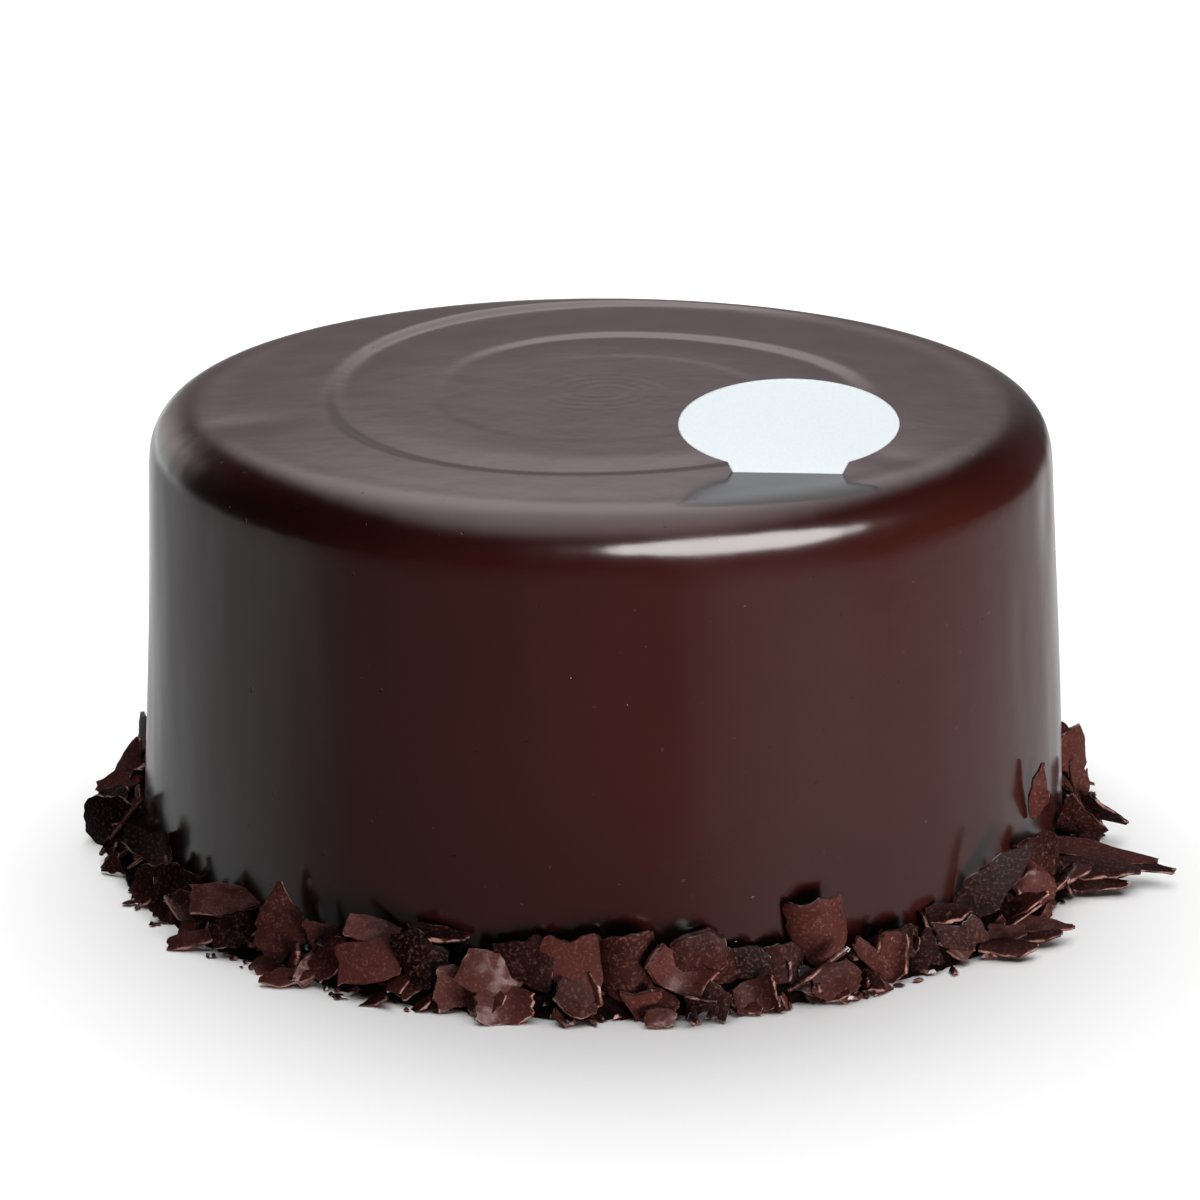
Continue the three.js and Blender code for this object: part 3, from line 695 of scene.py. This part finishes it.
def cake_profile(sizes, wall_rows, edge_rows, top_rows):
    """Radii and heights from the base's rim up the leaning wall, over the round shoulder and in along the
    top: a straight line, an arc from the wall's slope to the upright, and a flat run to near the centre. Each
    point is then averaged with its neighbours along the line, which eases the arc's ends, except at the rim
    and near the centre."""
    slope = math.atan((sizes.base_radius - sizes.shoulder_radius) / sizes.height)
    arc_z = sizes.height - sizes.edge_radius
    lean = (sizes.shoulder_radius - sizes.base_radius) / sizes.height
    arc_r = sizes.base_radius + lean * arc_z - sizes.edge_radius / math.cos(slope)
    wall_z = np.linspace(0, arc_z, wall_rows, endpoint=False)
    turn = np.linspace(slope, math.pi / 2, edge_rows)
    inward = np.linspace(1, 0, top_rows, endpoint=False)[1:]
    radius = [sizes.base_radius + lean * wall_z, arc_r + sizes.edge_radius * np.cos(turn), arc_r * inward]
    height = [wall_z, arc_z + sizes.edge_radius * np.sin(turn), np.full(top_rows - 1, sizes.height)]
    radius, height = np.concatenate(radius), np.concatenate(height)
    length = np.concatenate([[0], np.cumsum(np.hypot(np.diff(radius), np.diff(height)))])
    along = [np.clip(length + move, 0, length[-1]) for move in np.linspace(-1, 1, 9) * sizes.edge_soft]
    keep = np.minimum(1, np.minimum(length, length[-1] - length) / sizes.edge_soft)
    soft_radius = sum(np.interp(place, length, radius) for place in along) / len(along)
    soft_height = sum(np.interp(place, length, height) for place in along) / len(along)
    return radius + keep * (soft_radius - radius), height + keep * (soft_height - height)


def cake_surface(sizes, round_steps=560, wall_rows=44, edge_rows=24, top_rows=90):
    """The glazed cake as a grid: the profile turned round the upright axis. The wall is moved in and out by
    slow waves, fine ripples and presses, and the top up and down by the swirl, its middle's fine ripples and
    presses. Two centre points close the base and the top."""
    radius, height = cake_profile(sizes, wall_rows, edge_rows, top_rows)
    azimuth = np.arange(round_steps) * TAU / round_steps
    r, a = np.meshgrid(radius, azimuth, indexing="ij")
    z = np.repeat(height[:, None], round_steps, 1)
    z_mm, r_mm = z / MM, r / MM
    on_wall = smoothstep(r, sizes.shoulder_radius - sizes.edge_radius, sizes.shoulder_radius)
    out = waves(a, z_mm, WALL_WAVES_MM) + waves(a, z_mm, RIPPLES_MM)
    out -= presses(a, z_mm, sizes.shoulder_radius / MM, WALL_PRESSES_MM)
    on_top = smoothstep(z, sizes.height - 0.6 * sizes.edge_radius, sizes.height)
    up = smooth_swirl(*polar(r, a), sizes)
    up -= presses(a, r_mm, r_mm, TOP_PRESSES_MM)
    up += middle_curl(a, r_mm)
    points = np.stack([*polar(r + on_wall * out, a), z + on_top * up], -1).reshape(-1, 3)
    ends = np.array([[0, 0, 0], [0, 0, points[-round_steps:, 2].mean()]])
    rows = len(radius)
    quads = grid_quads(rows, round_steps, wrap=True)
    return np.concatenate([points, ends]), quads, end_fans(rows, round_steps)


def row_shards():
    """The shards of the rows, drawn from their ranges in a fixed order."""
    draw = numbers(ROW_SEED)
    shards = []
    for count, (first, last), *ranges, turn, lean, tip, bend in ROWS:
        for i in range(count):
            azimuth = first + (last - first) * (i + next(draw)) / count
            kind = KINDS[int(next(draw) * len(KINDS))]
            sizes = [within(draw, ends) for ends in ranges]
            face = azimuth + either_way(draw, turn)
            angles = within(draw, lean), either_way(draw, tip), within(draw, bend)
            shards.append((kind, azimuth, *sizes, face, *angles))
    return shards


def fragment_shards(sizes):
    """Small shards that fill the gaps: spread evenly round the cake, just over the core's slope, which is a
    parabola here, and turned and tilted any way."""
    draw = numbers(FRAGMENT_SEED)
    shards = []
    for i in range(sizes.fragments):
        azimuth = 360 * (i + next(draw)) / sizes.fragments
        kind = KINDS[int(next(draw) * len(KINDS))]
        out = within(draw, FRAGMENT_OUT)
        slope = max(0, 1 - (out / SLOPE_END_MM) ** 2) * sizes.core_up / MM
        up = slope + within(draw, FRAGMENT_UP)
        width, height, turn, *rest = (within(draw, ends) for ends in FRAGMENT_RANGES)
        shards.append((kind, azimuth, out, up, width, height, azimuth + turn, *rest))
    return shards


def rough_line(count, knots, rng):
    """A ragged line of that many values: straight between knots that are drawn from -1 to 1."""
    return np.interp(np.linspace(0, 1, count), np.linspace(0, 1, knots), rng.uniform(-1, 1, knots))


def shard_outline(kind, u, sizes, draw, rng):
    """Lower and upper edge of an outline at each u: straight between its columns, whose ends are moved by the
    jitter, and then made ragged."""
    jitter = sizes.jitter
    columns = [
        (across, low + either_way(draw, jitter), high + either_way(draw, jitter))
        for across, low, high in OUTLINES[kind]
    ]
    place, low, high = np.array(columns).T
    lower = np.interp(u, place, low) + EDGE_ROUGH * rough_line(len(u), 8, rng)
    upper = np.interp(u, place, high) + EDGE_ROUGH * rough_line(len(u), 8, rng)
    return lower, upper


def shard_face(shard, u, v, sizes, draw, rng):
    """A shard's middle surface and its directions outwards, in millimetres. Across it runs over the width,
    and up it from the outline's lower to its upper edge. It is bent round an upright axis, bowed and
    twisted."""
    kind, width, height, bend = shard[0], shard[4], shard[5], shard[9]
    lower, upper = shard_outline(kind, u, sizes, draw, rng)
    sway = SIDE_ROUGH * rough_line(len(v), 6, rng)
    across = u[:, None] + sway[None, :] * np.abs(u[:, None])
    up_share = lower[:, None] + (upper - lower)[:, None] * v[None, :]
    turn = math.radians(bend) * across / 2
    if abs(bend) > 1:
        round_mm = width / math.radians(bend)
        x, depth = round_mm * np.sin(turn), round_mm * (np.cos(turn) - 1)
    else:
        x, depth = across * width / 2, np.zeros_like(across)
    bow, twist = rng.uniform(-0.5, 0.5), rng.uniform(-0.5, 0.5)
    depth = depth + bow * (1 - up_share**2) + twist * across * up_share
    outwards = np.stack([np.sin(turn), np.zeros_like(turn), np.cos(turn)], -1)
    return np.stack([x, up_share * height / 2, depth], -1), outwards


def shard_shell(shard, seed, sizes, columns=15, rows=11):
    """One broken shard as a closed shell: a front and a back stand half the thickness off its middle surface,
    a little dented and thinner towards the edges, joined by an uneven broken rim. Then it is put in its place
    round the cake."""
    draw, rng = numbers(seed), np.random.default_rng(seed)
    thick = shard[10] if len(shard) > 10 else within(draw, (sizes.thinnest / MM, sizes.thickest / MM))
    u = np.concatenate([[-1], np.linspace(-0.95, 0.95, columns - 2), [1]])
    v = np.concatenate([[0], np.linspace(0.05, 0.95, rows - 2), [1]])
    middle, outwards = shard_face(shard, u, v, sizes, draw, rng)
    dent = FACE_DENT_MM * rng.normal(size=middle.shape[:2])
    thinner_up = 1 - THINNING * np.abs(2 * v - 1)[None, :] ** 4
    thinner_across = 1 - THINNING * np.abs(u[:, None]) ** 4
    half = thick / 2 * thinner_up * thinner_across
    front = middle + outwards * (half + dent)[..., None]
    back = middle - outwards * (half + 2 * dent)[..., None]
    rim = rim_of(columns, rows)
    ragged = RIM_OUT_MM + RIM_ROUGH_MM * rng.normal(size=len(rim))
    flat = middle.reshape(-1, 3)[rim]
    away = flat - middle.reshape(-1, 3).mean(0)
    away /= np.linalg.norm(away, axis=1)[:, None]
    local = np.concatenate([front.reshape(-1, 3), back.reshape(-1, 3), flat + away * ragged[:, None]])
    count = columns * rows
    edge = 2 * count + np.arange(len(rim))
    after = np.roll(np.arange(len(rim)), -1)
    face = grid_quads(columns, rows)
    front_side = np.stack([edge, edge[after], rim[after], rim], -1)
    back_side = np.stack([rim + count, rim[after] + count, edge[after], edge], -1)
    broken = np.zeros(len(local))
    broken[rim] = BROKEN_RIM
    broken[count : 2 * count] = BROKEN_RIM
    broken[2 * count :] = 1
    layers = {
        "broken": broken,
        "tone": np.full(len(local), rng.uniform()),
        "scrape": local[:, :2] * MM + rng.uniform(0, 1, 2),
    }
    quads = np.concatenate([face[:, ::-1], face + count, front_side, back_side])
    return put_shard(local, shard), quads, layers


def rim_of(columns, rows):
    """Numbers of a grid's outer points, in order round it."""
    grid = np.arange(columns * rows).reshape(columns, rows)
    return np.concatenate([grid[:, 0], grid[-1, 1:], grid[-2::-1, -1], grid[0, -2:0:-1]])


def put_shard(local, shard):
    """Points of a shard in metres: leant back about its width, tipped in its face, then turned so that the
    face looks along its azimuth, and moved out from the wall."""
    azimuth, out, up, _, _, face, lean, tip = shard[1:9]
    lean, tip, face, azimuth = (math.radians(angle) for angle in (-lean, tip, face, azimuth))
    x, y, z = local.T
    y, z = y * math.cos(lean) - z * math.sin(lean), y * math.sin(lean) + z * math.cos(lean)
    x, y = x * math.cos(tip) - y * math.sin(tip), x * math.sin(tip) + y * math.cos(tip)
    reach = wall_radius(up * MM / bpy.context.scene.cake_sizes.height) / MM + out
    across = np.array([-math.sin(face), math.cos(face), 0])
    outward = np.array([math.cos(face), math.sin(face), 0])
    centre = np.array([*polar(reach, azimuth), up])
    upright = np.array([0, 0, 1.0])
    return (centre + x[:, None] * across + y[:, None] * upright + z[:, None] * outward) * MM


def keep_clear(points):
    """Points moved straight out of the cake's wall, and up from the ground, until they are just clear."""
    x, y, z = points.T
    wall = wall_radius(np.clip(z / bpy.context.scene.cake_sizes.height, 0, 1)) + WALL_GAP
    wider = np.maximum(1, wall / np.hypot(x, y))
    return np.stack([x * wider, y * wider, np.maximum(z, GROUND_GAP)], -1)


def join_shells(shells):
    """Points, faces and attributes of several shells as one, kept clear of the cake and the ground."""
    starts = np.cumsum([0] + [len(points) for points, _, _ in shells[:-1]])
    points = np.concatenate([points for points, _, _ in shells])
    quads = np.concatenate([quads + start for (_, quads, _), start in zip(shells, starts)])
    layers = {key: np.concatenate([layer[key] for _, _, layer in shells]) for key in shells[0][2]}
    return keep_clear(points), quads, layers


def core_surface(sizes, round_steps=360, rows=22):
    """The mass under the shards, coloured dark as painted shade: a section that slopes from the wall to the
    ground, turned round the cake and closed inside the wall. Its reach and height swell and shrink in two
    sine waves round the cake, and seeded lumps make it uneven."""
    base = wall_radius(0)
    t = np.linspace(0, 1, rows)
    out = sizes.core_out * np.interp(t, CORE_WAY, CORE_REACH)
    up = sizes.core_up * np.interp(t, CORE_WAY, CORE_HEIGHT)
    azimuth = np.arange(round_steps) * TAU / round_steps
    uneven = 1 + CORE_SWELL * np.sin(7 * azimuth + 1) + CORE_SWELL * np.sin(16 * azimuth + 2)
    lumps = CORE_LUMP_MM * MM * np.random.default_rng(CORE_SEED).normal(size=(rows, round_steps))
    r = base + out[:, None] * uneven + lumps * np.minimum(1, t[:, None] * 6)
    z = np.maximum(up[:, None] * uneven + 0.7 * lumps * (1 - t[:, None]), 0)
    slope = np.stack([*polar(r, azimuth[None, :]), z], -1).reshape(-1, 3)
    inner = np.stack(polar(0.97 * base, azimuth), -1)
    top_ring = np.insert(inner, 2, sizes.core_up, axis=1)
    floor_ring = np.insert(inner, 2, 0, axis=1)
    count = (rows + 2) * round_steps
    quads = grid_quads(rows + 3, round_steps, wrap=True)
    return np.concatenate([top_ring, slope, floor_ring]), (quads % count)[:, ::-1]


def crumb_shells(sizes):
    """Small broken bits, each a squashed six-sided lump with jittered corners, strewn on the core and at its
    foot. Bits get smaller and lie lower the farther they are from the wall."""
    rng = np.random.default_rng(CRUMB_SEED)
    count = sizes.crumbs
    azimuth = rng.uniform(0, TAU, count)
    out = MM * rng.uniform(*CRUMB_OUT_MM, count)
    size = MM * rng.uniform(*CRUMB_SIZE_MM, count) * (1.15 - 0.5 * out / (CRUMB_OUT_MM[1] * MM))
    slope = np.clip(1 - (out / sizes.core_out) ** 2, 0, 1)
    up = slope * sizes.core_up + 0.45 * size
    ring = np.array(CRUMB_RING)
    lump = np.concatenate([ring, ring * UPPER_SHARE + UPPER_HEIGHT, CRUMB_ENDS])
    spin = rng.uniform(0, TAU, count)[:, None]
    shape = lump[None] * (1 + CRUMB_JITTER * rng.normal(size=(count, len(lump), 3))) * size[:, None, None]
    shape[..., 0] *= rng.uniform(*CRUMB_DRAWN_OUT, count)[:, None]
    x = shape[..., 0] * np.cos(spin) - shape[..., 1] * np.sin(spin)
    y = shape[..., 0] * np.sin(spin) + shape[..., 1] * np.cos(spin)
    over_x, over_y = polar((wall_radius(0) + out)[:, None], azimuth[:, None])
    points = np.stack([x + over_x, y + over_y, shape[..., 2] + up[:, None]], -1).reshape(-1, 3)
    layers = {
        "broken": np.full(len(points), BROKEN_CRUMB),
        "tone": np.repeat(rng.uniform(size=count), len(lump)),
        "scrape": points[:, :2],
    }
    starts = (np.arange(count) * len(lump))[:, None, None]
    quads = (grid_quads(2, len(ring), wrap=True) + starts).reshape(-1, 4)
    triangles = (end_fans(2, len(ring)) + starts).reshape(-1, 3)
    return keep_clear(points), quads, triangles, layers


def tag_outline(sizes, steps=120):
    """The tag's outline seen from the front: an oval that is open below, where straight lines lead to the
    narrower foot. Equal steps round the oval, then the foot's corners with a few points on each line."""
    turn = math.acos(sizes.shoulder / sizes.width)
    round_angle = np.linspace(-turn, math.pi + turn, steps)
    oval = np.stack([sizes.width / 2 * np.cos(round_angle), sizes.oval_height / 2 * np.sin(round_angle)], -1)
    half, level, bottom = sizes.foot / 2, -sizes.oval_up, -sizes.oval_up - sizes.sunk
    foot = np.array([[-half, level], [-half, bottom], [half, bottom], [half, level]])
    return np.concatenate([oval, foot])


def tag_surface(sizes, bevel=0.18):
    """The tag as rings of its outline: from the back's middle over a bevelled rim to the front's middle. The
    bevel is a share of the thickness."""
    outline = tag_outline(sizes)
    inset = bevel * sizes.thick
    centre = outline.mean(0)
    inward = centre - outline
    inward /= np.linalg.norm(inward, axis=1)[:, None]
    half = sizes.thick / 2
    depths = (half, half, half - inset, -half + inset, -half, -half)
    shrinks = (8 * inset, inset, 0, 0, inset, 8 * inset)
    rings = [np.insert(outline + inward * by, 1, depth, axis=1) for depth, by in zip(depths, shrinks)]
    middles = [[centre[0], half, centre[1]], [centre[0], -half, centre[1]]]
    points = np.concatenate([*rings, middles])
    points += [*sizes.place, bpy.context.scene.cake_sizes.height + sizes.oval_up]
    count = len(outline)
    return points, grid_quads(len(rings), count, wrap=True), end_fans(len(rings), count)


def soft_box(name, radiance, size, place, aim, mirrored=False, shape="RECTANGLE"):
    """A flat soft light of that radiance at place, which looks at aim. It is either mirrored in gloss or
    lights what is matt, so that each can be as bright as it needs."""
    light = bpy.data.lights.new(name, "AREA")
    light.shape = shape
    light.size, light.size_y = size
    area = size[0] * size[1] * (1 if shape == "RECTANGLE" else math.pi / 4)
    light.energy = radiance * math.pi * area
    lamp = bpy.data.objects.new(name, light)
    look = np.array(aim, float) - np.array(place, float)
    lamp.location = place
    pan = math.atan2(look[1], look[0]) - math.pi / 2
    tilt = math.pi / 2 + math.atan2(look[2], math.hypot(look[0], look[1]))
    lamp.rotation_euler = (tilt, 0, pan)
    lamp.visible_glossy = mirrored
    lamp.visible_diffuse = not mirrored
    bpy.context.scene.collection.objects.link(lamp)
    return lamp


def keep_light(lamp, state, *pieces):
    """Keeps a light to these objects (INCLUDE) or off them (EXCLUDE)."""
    collection = bpy.data.collections.new(lamp.name)
    for piece in pieces:
        if piece in bpy.data.objects:
            collection.objects.link(bpy.data.objects[piece])
    for entry in collection.collection_objects:
        entry.light_linking.link_state = state
    lamp.light_linking.receiver_collection = collection


def studio_world(settings):
    """Light from all round: even and dim on what is matt, while gloss mirrors a bright ceiling, a paler far
    end behind and a table. The ceiling is brightest overhead, fades towards the far wall, and ends at its
    sides and at the front. These are lines on a level plane, so the direction is divided by its own height.
    The far end is brightest on the left and reaches just under the horizon, and the table is palest at its
    right, left and back."""
    world = bpy.data.worlds.new("studio")
    world.use_nodes = True
    tree = world.node_tree
    tree.nodes.clear()
    direction = add_node(tree, "ShaderNodeTexCoord", output="Generated")
    x, y, z = (direction.node("ShaderNodeSeparateXYZ", None, {"Vector": direction}, axis) for axis in "XYZ")
    height = x.math("MAXIMUM", z, 0.05)
    across = x.math("ABSOLUTE", x.math("DIVIDE", x, height))
    along = x.math("DIVIDE", y, height)
    above = (z.between(0.22, 0.44) + z.between(0.3, 0.8)) * settings.ceiling_gloss
    ceiling = above * (1 - across.between(0.15, 0.75)) * along.between(-1, 0.1) * z.between(0, 0.05)
    leftward, down = 0 - x, 0 - z
    sides = leftward.between(0.2, 0.6) * 0.95 + leftward.between(-0.5, -0.1) * 0.2 + 0.05
    far = sides * y.between(0.5, 0.8) * (1 - z.between(0.25, 0.5)) * z.between(-0.17, -0.07)
    right = x.between(0.2, 0.85) * 0.40
    left = leftward.between(0.3, 0.9) * y.between(-0.5, 0) * 0.36
    back = y.between(0.3, 0.8) * 0.1 + y.between(0.7, 0.97) * 0.55
    at_right = x.between(0, 0.3)
    under = down.between(0.02, 0.12) * (1 - at_right) + down.between(0.1, 0.22) * at_right
    table = (right + left + back + 0.16) * under
    mirrored = add_node(tree, "ShaderNodeLightPath", output="Is Glossy Ray")
    strength = (1 - mirrored) * settings.fill + mirrored * (ceiling + far + table + 0.02)
    tint = mix_colours(mirrored * z.between(0, 0.2), (1, 1, 1), settings.ceiling_colour)
    background = add_node(tree, "ShaderNodeBackground", inputs={"Color": tint, "Strength": strength})
    add_node(tree, "ShaderNodeOutputWorld", inputs={"Surface": background})
    return world


def around(azimuth, elevation, distance):
    """The point in that direction from the cake, at that distance."""
    a, e = math.radians(azimuth), math.radians(elevation)
    level = distance * math.cos(e)
    return (level * math.cos(a), level * math.sin(a), distance * math.sin(e))


def new_shards(name, shells, material, replaced=()):
    """One piece of these shells of shards."""
    points, quads, layers = join_shells(shells)
    new_piece(name, points, quads, material, (), replaced, CRISP_SHARD, layers)


class CAKE_OT_glazed_cake(Operator):
    """Makes the glazed cake with its spatula swirl"""

    bl_idname = "fudge_cake.glazed_cake"
    bl_label = "Glazed cake"

    def execute(self, context):
        sizes = context.scene.cake_sizes
        points, quads, triangles = cake_surface(sizes)
        new_piece("glazed_cake", points, quads, glaze_material(sizes), triangles, ["cake"])
        return {"FINISHED"}


class CAKE_OT_shard_collar(Operator):
    """Makes the heap of broken chocolate round the foot: its core, shards and crumbs"""

    bl_idname = "fudge_cake.shard_collar"
    bl_label = "Shard collar"

    def execute(self, context):
        sizes = context.scene.shard_sizes
        chocolate = chocolate_material(sizes)
        shards = [*CHOSEN, *row_shards()]
        shells = [shard_shell(shard, i + 1, sizes) for i, shard in enumerate(shards)]
        new_shards("collar_shards", shells[: len(CHOSEN)], chocolate, ["chocolate_shards"])
        new_shards("more_shards", shells[len(CHOSEN) :], chocolate, ["chocolate_shards"])
        bits = enumerate(fragment_shards(sizes), FRAGMENT_FIRST_SEED)
        shells = [shard_shell(shard, seed, sizes, columns=5, rows=4) for seed, shard in bits]
        new_shards("small_shards", shells, chocolate)
        points, quads = core_surface(sizes)
        new_piece("heap_core", points, quads, painted_shade_core_material(sizes))
        points, quads, triangles, layers = crumb_shells(sizes)
        new_piece("crumbs", points, quads, chocolate, triangles, (), CRISP_CRUMB, layers)
        return {"FINISHED"}


class CAKE_OT_wall_shard(Operator):
    """Makes the shard that sticks to the wall"""

    bl_idname = "fudge_cake.wall_shard"
    bl_label = "Shard on the wall"

    def execute(self, context):
        sizes = context.scene.shard_sizes
        material = bpy.data.materials.get("broken chocolate") or chocolate_material(sizes)
        shells = [shard_shell(WALL_SHARD, WALL_SHARD_SEED, sizes)]
        new_shards("stuck_shard", shells, material, ["wall_shard"])
        return {"FINISHED"}


class CAKE_OT_tag(Operator):
    """Makes the bare white tag"""

    bl_idname = "fudge_cake.tag"
    bl_label = "Tag"

    def execute(self, context):
        sizes = context.scene.tag_sizes
        points, quads, triangles = tag_surface(sizes)
        new_piece("oval_tag", points, quads, card_material(sizes), triangles, ["tag"], CRISP_TAG)
        return {"FINISHED"}


class CAKE_OT_stage(Operator):
    """Makes the floor, the lights and the camera"""

    bl_idname = "fudge_cake.stage"
    bl_label = "Stage"

    def execute(self, context):
        settings = context.scene.stage_settings
        scene = context.scene
        half = settings.floor_size / 2
        mesh = bpy.data.meshes.new("floor")
        corners = [(-half, -half, 0), (half, -half, 0), (half, half, 0), (-half, half, 0)]
        mesh.from_pydata(corners, [], [(0, 1, 2, 3)])
        mesh.materials.append(floor_material(settings))
        floor = bpy.data.objects.new("floor", mesh)
        scene.collection.objects.link(floor)
        floor.visible_diffuse = False
        floor.visible_glossy = False
        floor.visible_shadow = False
        aim = (0, 0, 50 * MM)
        key = soft_box("key", settings.key_light, (1.1, 0.6), around(311, -8, 1.6), aim)
        keep_light(key, "EXCLUDE", "oval_tag")
        on_tag = soft_box("tag light", settings.tag_light, (0.6, 0.6), around(275, 25, 1.6), aim)
        keep_light(on_tag, "INCLUDE", "oval_tag")
        on_heap = soft_box("heap light", settings.heap_light, (0.6, 0.6), around(225, 20, 1.6), aim)
        keep_light(on_heap, "INCLUDE", "collar_shards", "more_shards", "small_shards", "heap_core")
        soft_box("key lamp", settings.key_gloss, (1.75, 0.85), around(304, 34, 1.6), aim, True, "ELLIPSE")
        soft_box("ceiling", settings.ceiling_light, (2, 1.6), around(95, 50, 1.7), aim)
        on_floor = soft_box("floor light", settings.floor_light, (3, 3), (0, 0.3, 2), (0, 0.3, 0))
        keep_light(on_floor, "INCLUDE", "floor")
        scene.world = studio_world(settings)
        scene.view_settings.view_transform = "Standard"
        camera = bpy.data.objects.new("camera", bpy.data.cameras.new("camera"))
        camera.data.lens = settings.lens
        camera.data.sensor_width = 36
        camera.location = settings.camera_place
        camera.rotation_euler = (math.pi / 2 - settings.camera_pitch, 0, 0)
        scene.collection.objects.link(camera)
        scene.camera = camera
        return {"FINISHED"}


class CAKE_PT_panel(Panel):
    """Lists the cake's pieces and their sizes"""

    bl_idname = "CAKE_PT_panel"
    bl_label = "Chocolate Fudge Cake"
    bl_space_type = "VIEW_3D"
    bl_region_type = "UI"
    bl_category = "Cake"

    def draw(self, context):
        for _, label, operators in GROUPS:
            settings = getattr(context.scene, label)
            for name in settings.bl_rna.properties.keys():
                if name not in ("rna_type", "name"):
                    self.layout.prop(settings, name)
            for operator in operators:
                self.layout.operator(operator.bl_idname)


# Each group of sizes, its name in the scene and the operators that use it
GROUPS = (
    (CakeSizes, "cake_sizes", (CAKE_OT_glazed_cake,)),
    (ShardSizes, "shard_sizes", (CAKE_OT_shard_collar, CAKE_OT_wall_shard)),
    (TagSizes, "tag_sizes", (CAKE_OT_tag,)),
    (StageSettings, "stage_settings", (CAKE_OT_stage,)),
)
CLASSES = (
    *(group for group, _, _ in GROUPS),
    *(operator for _, _, operators in GROUPS for operator in operators),
    CAKE_PT_panel,
)


def register():
    """Adds the classes, and each group of sizes to the scene."""
    for cls in CLASSES:
        bpy.utils.register_class(cls)
    for group, label, _ in GROUPS:
        setattr(bpy.types.Scene, label, PointerProperty(type=group))


def unregister():
    """Takes them out again, in reverse order."""
    for _, label, _ in GROUPS:
        delattr(bpy.types.Scene, label)
    for cls in reversed(CLASSES):
        bpy.utils.unregister_class(cls)


def main():
    """Makes every piece and the stage."""
    register()
    bpy.ops.fudge_cake.glazed_cake()
    bpy.ops.fudge_cake.shard_collar()
    bpy.ops.fudge_cake.wall_shard()
    bpy.ops.fudge_cake.tag()
    bpy.ops.fudge_cake.stage()


if __name__ == "__main__":
    main()
